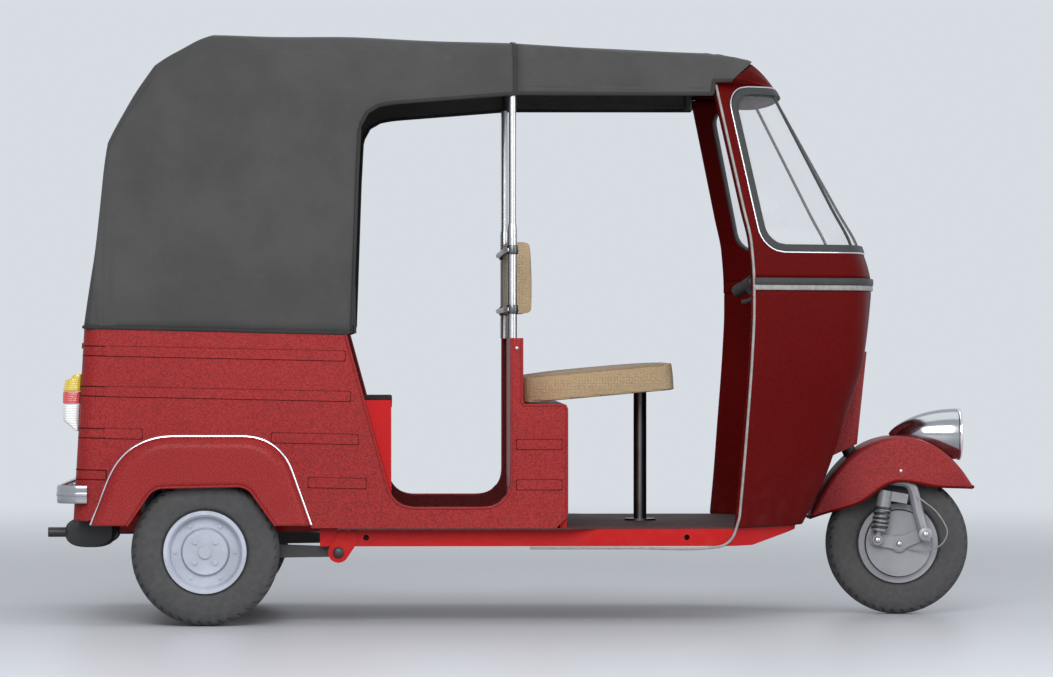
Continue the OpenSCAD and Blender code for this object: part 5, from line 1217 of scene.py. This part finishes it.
    def lid_hoods(self):
        """Pressed louvre hoods on the engine lid: half-round ridges over its slots."""
        t = np.linspace(-1, 1, LOUVRE_POINTS)
        profile = bar(0.007, 0.02, 5, 0.7)[None] * np.sqrt(np.clip(1 - t**8, 0.02, 1))[:, None, None]
        hoods = []
        for side in SIDES:
            for k in range(LOUVRE_FIRST, LOUVRE_FIRST + LOUVRES):
                drop = LID_DROP + LID_H * k / LOUVRE_PITCHES - LOUVRE_LIFT
                x = -TAIL_X - drop * math.sin(TAIL_LEAN) - 0.001
                z = WAIST_Z - drop * math.cos(TAIL_LEAN)
                path = np.stack(np.broadcast_arrays(x, side * LOUVRE_Y + LOUVRE_HALF * t, z), -1)
                hoods.append(beam(path, profile))
        piece("lid_louvres", hoods, "engine_lid", "panel_paint")

    def swages(self):
        """Painted shadow lines along the edges of the pressed swages: thin dark rods along the outline of each strip.
        A strip that starts at the rear corner runs on round it, on an arc, and ends on the rear wall."""
        length = DOOR_X + TAIL_X
        lines = []
        for a, b, h in SWAGES:
            round_corner = a < CORNER_SHARE
            start = CORNER_R if round_corner else a * length
            lines += self.strip(start - TAIL_X, b * length - TAIL_X, h * WAIST_Z, SWAGE_FALL, round_corner)
        for h in POST_SWAGES:
            lines += self.strip(BOX_X0 + SWAGE_END, BOX_X1 - SWAGE_END, h * POST_Z, 0.0, False)
        # The rods carry painted shadow, darker than the panel
        piece("swage_lines", lines, "body", "swage_shadow")

    def silencer(self):
        """Oval silencer: a drawn-out superellipse carried across under the tail, with rounded ends and two pipes."""
        low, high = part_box("silencer")
        z, radius = (low.z + high.z) / 2, (high.z - low.z) / 2
        t = np.linspace(-1, 1, 40)
        swell = np.sqrt(np.clip(1 - np.abs(t)**30, 0, 1))
        y = between(low.y, high.y, (t + 1) / 2)
        oval = bar(2 * SILENCER_HALF, 2 * radius, 12, 0.75)
        grid = np.stack(np.broadcast_arrays(SILENCER_X + oval[None, :, 0] * swell[:, None], y[:, None],
                                            z + oval[None, :, 1] * swell[:, None]), -1)
        tail = np.array([[low.x - REAR_X, low.y + radius, z], [SILENCER_X, low.y + radius, z]])
        feed = np.array([[SILENCER_X, FEED_Y, z], [high.x - REAR_X, FEED_Y, z]])
        seams = [rod(grid[k], 0.003, (0, 1, 0), 8, True) for k in (3, -4)]
        pipes = [self.pipe(tail[::-1]), rod(feed, PIPE_R)]
        drum = piece("silencer_drum", [surface(grid, (False, True))] + pipes + seams, "body", "black_paint")
        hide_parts("silencer")

    def pipe(self, ends):
        """Open tail pipe: a tube's outer wall, its rim and its inner wall, turned about the pipe's axis."""
        long = float(np.linalg.norm(ends[1] - ends[0]))
        wall = [[PIPE_R, 0.0], [PIPE_R, long - 0.001], [PIPE_R - 0.001, long], [PIPE_BORE + 0.0005, long],
                [PIPE_BORE, long - 0.001], [PIPE_BORE, long * 0.4], [0.0, long * 0.4]]
        return lathed(wall, ends[0], ends[1] - ends[0], (0, 0, 1), 24)

    def strip(self, x0, x1, z, fall, round_corner):
        """Outline of one swage on both sides: its straight edges fall forwards, its rear end is square or wrapped."""
        h, x = SWAGE_H / 2, np.linspace(x1, x0, 30)
        if round_corner:
            turn = np.linspace(0, math.pi / 2, 12)
            lean = (z - WAIST_Z) * math.tan(TAIL_LEAN)
            along = np.concatenate([x, x0 + lean - CORNER_R * np.sin(turn[1:]), [x0 + lean - CORNER_R] * 4])
            across = np.concatenate([np.full(30, HALF_W), HALF_W - CORNER_R * (1 - np.cos(turn[1:])),
                                     np.linspace(HALF_W - CORNER_R, REAR_SWAGE_Y, 5)[1:]])
        else:
            along, across = x, np.full(30, HALF_W)
        across = across + SWAGE_STAND
        drop = np.minimum(along - x0, x1 - x0) * math.tan(fall)
        upper = np.stack([along, across, z + h - drop], -1)
        lower = np.stack([along, across, z - h - drop], -1)
        loop = even_path(np.concatenate([upper, lower[::-1], upper[:1]]), 321)[:-1]
        return [rod(loop * (1, side, 1), SWAGE_ROD, (0.37, side, 0), 8, True) for side in SIDES]


# Wheels

TYRE_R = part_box("front_tyre")[1].z - AXLE_Z
TYRE_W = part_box("front_tyre")[1].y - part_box("front_tyre")[0].y
TYRE_BED = 0.1053
TYRE_SECTION = np.array([[0.76, 0.0], [0.78, 0.11], [0.94, 0.2], [1.0, 0.48], [0.96, 0.72], [0.86, 0.87],
                         [0.62, 0.965], [0.3, 0.995], [0.0, 1.0]])
GROOVES, GROOVE_W, GROOVE_WAVE = (-0.36, 0.0, 0.36), 0.055, 0.035
CUT_FROM, CUT_SLANT, CUT_W = 0.5, 1.4, 0.34
TREAD_FROM, TREAD_EASE = 0.86, 0.07
WALL_RINGS, WALL_RING_H, WALL_RING_W = (0.27, 0.66), 0.0016, 0.018
FRONT_AXLE = np.array([WHEELBASE, 0.0, AXLE_Z])
# Body, CAD node and centre of each tyre
WHEELS = {
    "tyre_front": ("front_wheel", "front_tyre", FRONT_AXLE),
    "tyre_rear_right": ("rear_wheel_right", "rear_tyre_right", (0.0, -TRACK / 2, AXLE_Z)),
    "tyre_rear_left": ("rear_wheel_left", "rear_tyre_left", (0.0, TRACK / 2, AXLE_Z)),
}


class RICKSHAW_OT_tyres(bpy.types.Operator):
    """Make the three treaded tyres"""

    bl_idname = "rickshaw.tyres"
    bl_label = "Tyres"

    def execute(self, context):
        tyre = self.tyre(sizes())
        for name, (body, node, centre) in WHEELS.items():
            made = piece(name, surface(tyre + centre, (True, True)), body, "tyre_rubber")
            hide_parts(node)
        return {"FINISHED"}

    def tyre(self, size):
        """Section turned round the axle. Its tread is lowered by three wavy grooves that run round it, and by slant
        cuts at the shoulders, one for each lug; two thin rings stand out of each sidewall."""
        t = np.concatenate([np.linspace(0, 5, 26), np.linspace(5, 8, 28)[1:]])
        half = hermite(t, np.arange(9.0), TYRE_SECTION)
        section = np.concatenate([half, half[-2::-1] * (-1, 1)])
        across = section[:, 0] * TYRE_W / 2
        radius = between(TYRE_BED, TYRE_R, section[:, 1])
        turn = np.linspace(0, math.tau, size.lugs * 10, endpoint=False)[:, None]
        tread = np.clip((section[:, 1] - TREAD_FROM) / TREAD_EASE, 0, 1)[None]
        share = section[None, :, 0]
        wave = GROOVE_WAVE * np.sin(turn * size.lugs)
        groove = np.zeros((len(turn), len(section)))
        for middle in GROOVES:
            groove = np.maximum(groove, np.exp(-((share - middle - wave) / GROOVE_W)**4))
        slant = np.abs(((turn * size.lugs / math.tau + np.abs(share) * CUT_SLANT) % 1.0) - 0.5) * 2
        cuts = np.clip((CUT_W - slant) / 0.12, 0, 1) * np.clip((np.abs(share) - CUT_FROM) / 0.08, 0, 1)
        depth = size.tread * np.maximum(groove, cuts) * tread
        rings = sum(WALL_RING_H * np.exp(-((section[:, 1] - at) / WALL_RING_W)**2) for at in WALL_RINGS)
        r = radius[None] - depth
        y = across[None] + (np.sign(across) * rings)[None]
        return np.stack([r * np.cos(turn), np.broadcast_to(y, r.shape), r * np.sin(turn)], -1)


# Front end

GUARD_R, GUARD_CROWN, GUARD_W, GUARD_SKIRT = 0.269, 0.045, 0.122, 0.132
GUARD_FRONT, GUARD_REAR, GUARD_MIDDLE = math.radians(53), math.radians(74), math.radians(-10)
GUARD_EDGE, GUARD_END = 0.012, 0.52
RIVET_Z = 0.421
GUARD_SECTION = np.array([[1.0, 1.0, 0], [1.0, 0.5, 0.5], [0.99, 0, 1.0], [0.92, 0, 0.4], [0.75, 0, 0.1],
                          [0.4, 0, 0.02], [0, 0, 0]])
CABLE_D = 0.004
# The brake cable's way from the fork leg to the brake's lever, in millimetres from the front axle
CABLE_ROUTE = np.array([[48.1, -115.8, 139.3], [70, -123, 122], [100, -124, 98], [124, -122, 66], [136, -118, 38],
                        [128, -110, 8], [102, -98, -14], [60, -84, -20], [25, -70.15, -17]])
DAMPER_FOOT, DAMPER_LEAN = (-0.066, -0.0985, 0.012), math.radians(10)
SPRING_R, SPRING_SPAN, SPRING_TURNS = 0.0215, (0.03, 0.1), 5
LAMP_R, LAMP_L, LAMP_Z, LAMP_X, LAMP_RIM = 0.0745, 0.202, 0.526, 0.178, 0.008
BEZEL_R, BOWL_D, DOME_H, LAMP_SIDES = 0.006, 0.042, 0.011, 72
# Profiles of the hub's boss and the link's eye: radius and height
HUB_BOSS = ((0, 0), (0.026, 0), (0.026, 0.010), (0.024, 0.012), (0.016, 0.012), (0.015, 0.018), (0, 0.018))
LINK_EYE = ((0, 0), (0.02, 0), (0.02, 0.002), (0.018, 0.0035), (0, 0.0035))
HUB_Y = -0.066
# Link bolts from the front axle: link pivot, damper foot and axle nut
LINK_BOLTS = np.array([[0.072, -0.1255, 0.029], [-0.066, -0.1085, 0.012], [0.0, -0.085, 0.0]])
BAR_REACH, BAR_RISE, BAR_END = np.array([0.080, 0.300, 0.062]), 0.5013, 0.110
RAKE = math.radians(25)
GRIP_FROM, POD_FROM = 0.62, 0.55
GRIP_R, GRIP_RIB, GRIP_END, GRIP_POINTS, GRIP_RIBS = 0.0175, 0.0012, 0.0155, 60, 12
POD_R, POD_POINTS = 0.02, 12
LEVER_WAY = (0.4, 0, -0.9)


def guard_radius(a):
    """Radius of the mudguard's crown at an angle from the top: a constant and a fourth power of the cosine."""
    return GUARD_R + GUARD_CROWN * np.cos(a)**4


def guard_grid(turns):
    """Mudguard: a channel section round the front axle; its width and skirts shrink towards both ends by a cube."""
    fade = 1 - np.minimum(np.abs((turns - GUARD_MIDDLE) / (GUARD_REAR + GUARD_MIDDLE)), 1)**3
    t = np.linspace(0, len(GUARD_SECTION) - 1, 37)
    g = hermite(t, np.arange(float(len(GUARD_SECTION))), GUARD_SECTION)
    fade, a = fade[:, None], turns[:, None]
    y = GUARD_W * between(GUARD_END, 1, fade) * g[:, 0]
    r = guard_radius(a) - GUARD_SKIRT * fade * g[:, 1] - GUARD_EDGE * np.minimum(fade * 4, 1) * g[:, 2]
    y, r = np.concatenate([-y, y[:, -2::-1]], 1), np.concatenate([r, r[:, -2::-1]], 1)
    return np.stack([WHEELBASE + r * np.sin(a), y, AXLE_Z + r * np.cos(a)], -1)


class RICKSHAW_OT_front_end(bpy.types.Operator):
    """Make the mudguard, headlamp, spring, levers, grips and cable"""

    bl_idname = "rickshaw.front_end"
    bl_label = "Front end"

    def execute(self, context):
        size = sizes()
        grid = guard_grid(np.linspace(GUARD_FRONT, -GUARD_REAR, 90))
        guard = piece("mudguard_skin", surface(grid), "steering", "guard_paint", wall=0.0035)
        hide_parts("front_mudguard")
        rim = np.concatenate([grid[:, 0], grid[-1, 1:-1], grid[::-1, -1], grid[0, -2:0:-1]])
        piece("mudguard_roll", rod(rim, size.bead * 0.7, (0.1, 1, 0.2), closed=True), "steering",
              "cowl_paint")
        rivets = [(WHEELBASE, side * GUARD_W, RIVET_Z) for side in SIDES]
        piece("mudguard_rivets", bolts(rivets, [(0, -1, 0), (0, 1, 0)], size.bolt, size.bolt * 0.6), "steering",
              "pole_steel")
        self.headlamp()
        self.cable()
        self.spring()
        self.link_bolts(size)
        self.handlebar_trim()
        return {"FINISHED"}

    def on_guard(self, points):
        """Points pushed out along the wheel's radius wherever they would lie inside the mudguard's crown."""
        out = points.copy()
        x, z = points[..., 0] - WHEELBASE, points[..., 2] - AXLE_Z
        a = np.arctan2(x, z)
        need = np.maximum(guard_radius(a) / np.maximum(np.hypot(x, z), 1e-6), 1)
        out[..., 0], out[..., 2] = WHEELBASE + x * need, AXLE_Z + z * need
        return out

    def headlamp(self):
        """Headlamp: a teardrop of revolution that sits on the mudguard, a bezel ring, a bowl and a domed lens."""
        t = np.linspace(0, 1, 40)
        shell = np.stack([LAMP_R * np.maximum(1 - t**2.1, 0)**0.75, -LAMP_L * t], -1)
        lip = [[LAMP_R - 0.009, LAMP_RIM * 0.4], [LAMP_R - 0.006, LAMP_RIM], [LAMP_R - 0.001, LAMP_RIM * 0.9]]
        at, way, up = (WHEELBASE + LAMP_X, 0, LAMP_Z), (1, 0, 0), (0, 0, 1)
        body = surface(self.on_guard(turned(np.concatenate([lip, shell]), at, way, up, LAMP_SIDES)), (True, False))
        lamp = piece("headlamp_teardrop", body, "steering", "lamp_chrome", wall=0.0012)
        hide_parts("headlamp_shell")
        circle = np.insert(ring(LAMP_R - BEZEL_R / 2, LAMP_SIDES), 0, LAMP_RIM * 0.55, 1) + at
        piece("headlamp_bezel", rod(circle, BEZEL_R, way, closed=True), "steering", "chrome")
        s = np.linspace(1, 0, 16)
        bowl = np.stack([(LAMP_R - 0.012) * s, -BOWL_D * (1 - s**2)], -1)
        piece("headlamp_bowl", lathed(bowl, at, way, up, 48), "steering", "chrome", wall=0.0008)
        dome = np.stack([(LAMP_R - 0.008) * s, LAMP_RIM * 0.6 + DOME_H * (1 - s**2)], -1)
        lens = piece("headlamp_dome", lathed(dome, at, way, up, LAMP_SIDES), "steering", "headlamp_glass",
                     wall=0.003)
        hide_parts("headlamp_lens")

    def cable(self):
        """Brake cable: a round cord on one smooth path from the fork leg to the brake's lever."""
        path = smooth_path(CABLE_ROUTE / 1000 + FRONT_AXLE, 60)
        cord = piece("brake_cord", rod(path, CABLE_D / 2, (0.2, 1, 0.1)), "steering", "trim_grey")
        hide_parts("brake_cable")

    def spring(self):
        """Coil spring: a helix round the damper's leaning axis."""
        t = np.linspace(0, 1, 260)
        turn = math.tau * SPRING_TURNS * t
        along = between(SPRING_SPAN[0], SPRING_SPAN[1], t)
        way, side = np.array([math.sin(DAMPER_LEAN), 0, math.cos(DAMPER_LEAN)]), np.array([0, 1, 0])
        other = np.cross(way, side)
        path = (np.array(DAMPER_FOOT) + FRONT_AXLE + along[:, None] * way
                + SPRING_R * (np.cos(turn)[:, None] * side + np.sin(turn)[:, None] * other))
        piece("fork_spring", rod(path, 0.0036, way, 8), "steering", "black_paint")

    def link_bolts(self, size):
        """Bosses, bright axle nut and link bolts on the right of the front wheel."""
        places, way = LINK_BOLTS + FRONT_AXLE, (0, -1, 0)
        hub = lathed(HUB_BOSS, (WHEELBASE, HUB_Y, AXLE_Z), way, (1, 0, 0), 32)
        eye = lathed(LINK_EYE, places[0] + (0, 0.002, 0), way, (1, 0, 0), 28)
        piece("link_bosses", [hub, eye], "steering", "fork_grey")
        piece("link_bolts", bolts(places, way, size.bolt * 1.6, size.bolt), "steering", "pole_steel")

    def handlebar_trim(self):
        """Ribbed grips, levers and the switch pods on the handlebar, set by the bar's own ends."""
        grips, levers = [], []
        for side in SIDES:
            tip, root = self.bar_point(side, 1.0), self.bar_point(side, GRIP_FROM)
            path = between(tip, root, np.linspace(0, 1, GRIP_POINTS)[:, None])
            ripple = GRIP_R + GRIP_RIB * np.sign(np.sin(np.linspace(0, GRIP_RIBS * 2 * math.pi, GRIP_POINTS)))
            ripple[[0, -1]] = GRIP_END
            grips.append(rod(path, ripple, sides=18))
            back = unit(np.array(LEVER_WAY))
            lever = smooth_path([root + back * 0.02, root + back * 0.036 + (tip - root) * 0.1,
                                 between(root, tip, 0.55) + back * 0.042, between(root, tip, 0.98) + back * 0.036], 30)
            levers.append(beam(lever, bar(0.006, 0.013, 4, 0.6)))
            pod = between(root, self.bar_point(side, POD_FROM), np.linspace(0, 1, POD_POINTS)[:, None])
            width = POD_R * np.sin(np.linspace(0.5, math.pi - 0.5, POD_POINTS))**0.4
            levers.append(rod(pod, width, sides=16))
        piece("handlebar_grips", grips, "steering", "seal_rubber")
        piece("handlebar_levers", levers, "steering", "black_paint")

    def bar_point(self, side, share):
        """Point on the straight end of the handlebar: share 1 is the tip."""
        tip = BAR_REACH * (-1, side, 0.82)
        before = BAR_REACH * (-0.42, 0.74 * side, 0.95)
        start = tip + unit(before - tip) * min(BAR_END, 0.98 * np.linalg.norm(before - tip))
        p = between(start, tip, (share - GRIP_FROM) / (1 - GRIP_FROM)) + (0, 0, BAR_RISE)
        return JOINT["steering_turn"] - (REAR_X, 0, 0) + leaned(p, RAKE)


# Seats

SEAT_TILT = math.radians(5.2)
SIM_FRAMES, SIM_QUALITY, PRESSURE = 20, 5, 2.0
# Driver's cushion: length, thickness, height of its foot, and how far its piping lies inside its sides
CUSHION_L, CUSHION_H, CUSHION_Z, CUSHION_IN = 0.426, 0.08, 0.6196, 0.007
PAD_ROUND, PAD_SINK, PAD_MERGE, FILL = 0.03, 0.004, 1e-5, 0.75
# Sewn channels across the bench: their places, half-width and depth
CHANNELS, CHANNEL_W, CHANNEL_D = (-0.26, 0.0, 0.26), 0.011, 0.016
# Faces whose normals lean this much from the pad's way up are its edges
EDGE_TILT = (0.32, 0.94)


def pad_outline(length, width, radius, count=200):
    """Closed rounded rectangle in plan, from x = 0, as evenly spaced points."""
    c = [[length / 2, -width / 2], [length, -width / 2], [length, width / 2], [0, width / 2], [0, -width / 2],
         [length / 2, -width / 2]]
    return even_path(rounded(c, [radius] * 4, 10), count + 1)[:-1]


class RICKSHAW_OT_seats(bpy.types.Operator):
    """Fill the four seat cushions by a cloth simulation and sew their piping"""

    bl_idname = "rickshaw.seats"
    bl_label = "Seats"

    def execute(self, context):
        swell = sizes().swell
        up = (-math.sin(SEAT_TILT), 0, math.cos(SEAT_TILT))
        low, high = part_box("driver_cushion")
        self.pad("driver_seat_pad", "driver_cushion", up, 0.008, swell)
        base = np.array([low.x + CUSHION_H * math.sin(SEAT_TILT) - REAR_X, 0, CUSHION_Z])
        plan = pad_outline(CUSHION_L, high.y - low.y - 2 * CUSHION_IN, PAD_ROUND) + (CUSHION_IN, 0)
        self.piping("driver_seat_piping", plan, (0.006, 0.073), base, up, SEAT_TILT)
        self.pad("driver_back_pad", "driver_backrest", (1, 0, 0), 0.007, swell * 0.8)
        low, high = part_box("passenger_cushion")
        self.pad("bench_pad", "passenger_cushion", (0, 0, 1), 0.011, swell, CHANNELS)
        plan = pad_outline(high.x - low.x, high.y - low.y, PAD_ROUND, 300)
        self.piping("bench_piping", plan, (0.004, high.z - low.z - 0.003), np.array([low.x - REAR_X, 0, low.z]),
                    (0, 0, 1))
        self.pad("bench_back_pad", "passenger_backrest", (1, 0, 0.14), 0.011, swell, CHANNELS)
        return {"FINISHED"}

    def piping(self, name, plan, lifts, base, up, tilt=0.0):
        """Cords round a plan at some heights over the pad's foot, turned by its tilt about its rear edge."""
        cords = [rod(base + leaned(np.insert(plan, 2, lift, 1), tilt), sizes().piping, up, 10, True) for lift in lifts]
        piece(name, cords, "body", "seat_piping")

    def pad(self, name, node, up, voxel, cap, channels=()):
        """Pad from its CAD solid: remeshed, blown up as cloth with its edges held, made a little smaller, and pressed
        in along sewn channels by a bell curve."""
        mesh = frame["nodes"][node].data.copy()
        work = bmesh.new()
        work.from_mesh(mesh)
        bmesh.ops.remove_doubles(work, verts=work.verts, dist=PAD_MERGE)
        work.to_mesh(mesh)
        work.free()
        made = linked(name, mesh)
        even = made.modifiers.new("even", "REMESH")
        even.mode, even.voxel_size = "VOXEL", voxel
        self.bake(made)
        rest, way = self.read(made)
        up = unit(np.asarray(up, float))
        height = rest @ up
        under = (way @ up < -0.5) & (height < height.min() + 0.4 * np.ptp(height))
        tilt = np.abs(way @ up)
        held = ((tilt > EDGE_TILT[0]) & (tilt < EDGE_TILT[1])) | under
        step = self.simulate(made, held) - rest
        far = np.linalg.norm(step, axis=1, keepdims=True)
        step *= np.minimum(1, cap / np.maximum(far, 1e-9))
        step -= way * PAD_SINK * (~under)[:, None]
        for place in channels:
            dent = CHANNEL_D * np.exp(-((rest[:, 1] - place) / CHANNEL_W)**2)
            step -= up * (dent * np.clip(way @ up, 0, 1))[:, None]
        made.data.vertices.foreach_set("co", (rest + step).astype(np.float32).ravel())
        made.data.update()
        dressed(made, "body", "seat_cloth", levels=1)
        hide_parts(node)

    def read(self, made):
        """Vertex places and normals of an object's mesh."""
        count = len(made.data.vertices)
        place, way = np.empty(count * 3, np.float32), np.empty(count * 3, np.float32)
        made.data.vertices.foreach_get("co", place)
        made.data.vertex_normals.foreach_get("vector", way)
        return place.reshape(-1, 3).astype(float), way.reshape(-1, 3).astype(float)

    def bake(self, made):
        """Puts an object's modifiers into its mesh."""
        graph = bpy.context.evaluated_depsgraph_get()
        mesh = bpy.data.meshes.new_from_object(made.evaluated_get(graph))
        made.modifiers.clear()
        made.data = mesh

    def simulate(self, made, held):
        """Places of the mesh after the cloth has been blown up for a few frames."""
        group = made.vertex_groups.new(name="held")
        group.add(np.flatnonzero(held).tolist(), 1.0, "REPLACE")
        cloth = made.modifiers.new("cloth", "CLOTH")
        cloth.settings.vertex_group_mass = "held"
        cloth.settings.use_pressure = True
        cloth.settings.uniform_pressure_force = PRESSURE
        cloth.settings.quality = SIM_QUALITY
        cloth.settings.effector_weights.gravity = 0.0
        cloth.collision_settings.use_collision = False
        scene = bpy.context.scene
        for number in range(1, SIM_FRAMES + 1):
            scene.frame_set(number)
        shaped = made.evaluated_get(bpy.context.evaluated_depsgraph_get()).data
        place = np.empty(len(shaped.vertices) * 3, np.float32)
        shaped.vertices.foreach_get("co", place)
        made.modifiers.clear()
        made.vertex_groups.clear()
        scene.frame_set(1)
        return place.reshape(-1, 3).astype(float)


# Cabin

SLEEVE_Z, SLEEVE_R, SLEEVE_END = (0.806, 1.13), 0.0128, 0.0014
BAR_HEIGHTS = (0.888, 1.056)
CLAMP_R, CLAMP_HALF, CLAMP_ROUND, CLAMP_BOLT = 0.0165, 0.013, 0.0015, 0.014
POST_BOLT_X, POST_BOLT_Z = 0.8725, 0.779
MAT_L, MAT_DROP, MAT_LIFT, MAT_WALL = 0.11, 0.02, 0.002, 0.0018
BORE_X, BORE_Y, BORE_Z, BORE_R = (0.45, 1.353), 0.4995, 0.2455, 0.0095
PIVOT, PIVOT_R = np.array([0.372, 0.552, 0.204]), 0.0155


class RICKSHAW_OT_cabin(bpy.types.Operator):
    """Add the pole sleeves, clamps, bolts and small fittings of the cabin"""

    bl_idname = "rickshaw.cabin"
    bl_label = "Cabin fittings"

    def execute(self, context):
        size = sizes()
        sleeves, clamps, places, ways = [], [], [], []
        t, s = np.linspace(0, 1, 20), np.linspace(-1, 1, 9)
        sleeve_r = SLEEVE_R - SLEEVE_END * np.clip((t - 0.97) / 0.03, 0, 1)
        clamp_r = CLAMP_R - CLAMP_ROUND * np.abs(s)**4
        for y in (side * POLE_Y for side in SIDES):
            run = np.stack(np.broadcast_arrays(POLE_X, y, between(*SLEEVE_Z, t)), -1)
            sleeves.append(rod(run, sleeve_r, (0, 1, 0), 24))
            for z in BAR_HEIGHTS:
                band = np.stack(np.broadcast_arrays(POLE_X, y, z + CLAMP_HALF * s), -1)
                clamps.append(rod(band, clamp_r, (0, 1, 0), 20))
                places.append((POLE_X + CLAMP_BOLT, y, z))
                ways.append((1, 0, 0))
        piece("pole_sleeves", sleeves, "body", "pole_steel")
        piece("pole_clamps", clamps, "body", "post_steel")
        for side in SIDES:
            places.append((POST_BOLT_X, side * (HALF_W + 0.0005), POST_BOLT_Z))
            ways.append((0, side, 0))
        piece("cabin_bolts", bolts(places, np.array(ways, float), size.bolt, size.bolt * 0.7), "body",
              "pole_steel")
        self.bench_mat()
        self.bore_backs()
        return {"FINISHED"}

    def bench_mat(self):
        """Mat on the bench's front edge: a thin slab that turns down over the edge, carried across the cabin."""
        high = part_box("rear_tub")[1]
        front, top = high.x - REAR_X + MAT_LIFT, high.z + MAT_LIFT
        edge = rounded([[front - MAT_LIFT - MAT_L, top], [front, top], [front, high.z - MAT_DROP]], [0.006], 6)
        y = np.linspace(-high.y, high.y, 12)[:, None]
        grid = np.stack(np.broadcast_arrays(edge[None, :, 0], y, edge[None, :, 1]), -1)
        piece("bench_mat", surface(grid), "body", "bench_mat", wall=MAT_WALL)

    def bore_backs(self):
        """Dark discs behind the tie-down bores, as painted shade inside the bores, and dark bolts of the arms' pivots:
        low caps of revolution.
        """
        discs = []
        for side in SIDES:
            way = np.array([0.0, side, 0.0])
            # Painted shade: a dark disc behind each bore
            discs += bolts([(x, side * BORE_Y, BORE_Z) for x in BORE_X], way, BORE_R, 0.002)
            discs += bolts([PIVOT * (1, side, 1)], way, PIVOT_R, 0.006)
        piece("bore_backs", discs, "body", "black_paint")


# Panel and registration

STEPS = (RICKSHAW_OT_stage, RICKSHAW_OT_front_end, RICKSHAW_OT_cad_finishes, RICKSHAW_OT_cowl, RICKSHAW_OT_canopy,
         RICKSHAW_OT_rear_body, RICKSHAW_OT_tyres, RICKSHAW_OT_seats, RICKSHAW_OT_cabin)


class RICKSHAW_PT_looks(bpy.types.Panel):
    """Lists the steps that dress the frame, with their sizes and colours"""

    bl_idname = "RICKSHAW_PT_looks"
    bl_label = "Auto rickshaw"
    bl_space_type = "VIEW_3D"
    bl_region_type = "UI"
    bl_category = "Rickshaw"

    def draw(self, context):
        for step in STEPS:
            self.layout.operator(step.bl_idname)
        for group in (context.scene.rickshaw_sizes, context.scene.rickshaw_colours, context.scene.rickshaw_stage):
            box = self.layout.box()
            for key in group.bl_rna.properties.keys():
                if key not in ("rna_type", "name"):
                    box.prop(group, key)


GROUPS = {"rickshaw_sizes": RickshawSizes, "rickshaw_colours": RickshawColours, "rickshaw_stage": RickshawStage}


def register():
    for cls in (*GROUPS.values(), *STEPS, RICKSHAW_PT_looks):
        bpy.utils.register_class(cls)
    for key, group in GROUPS.items():
        setattr(bpy.types.Scene, key, PointerProperty(type=group))


def unregister():
    for key in GROUPS:
        delattr(bpy.types.Scene, key)
    for cls in (RICKSHAW_PT_looks, *reversed(STEPS), *reversed(list(GROUPS.values()))):
        bpy.utils.unregister_class(cls)


def main():
    register()
    for step in STEPS:
        getattr(bpy.ops.rickshaw, step.bl_idname.split(".")[1])()


if __name__ == "__main__":
    main()
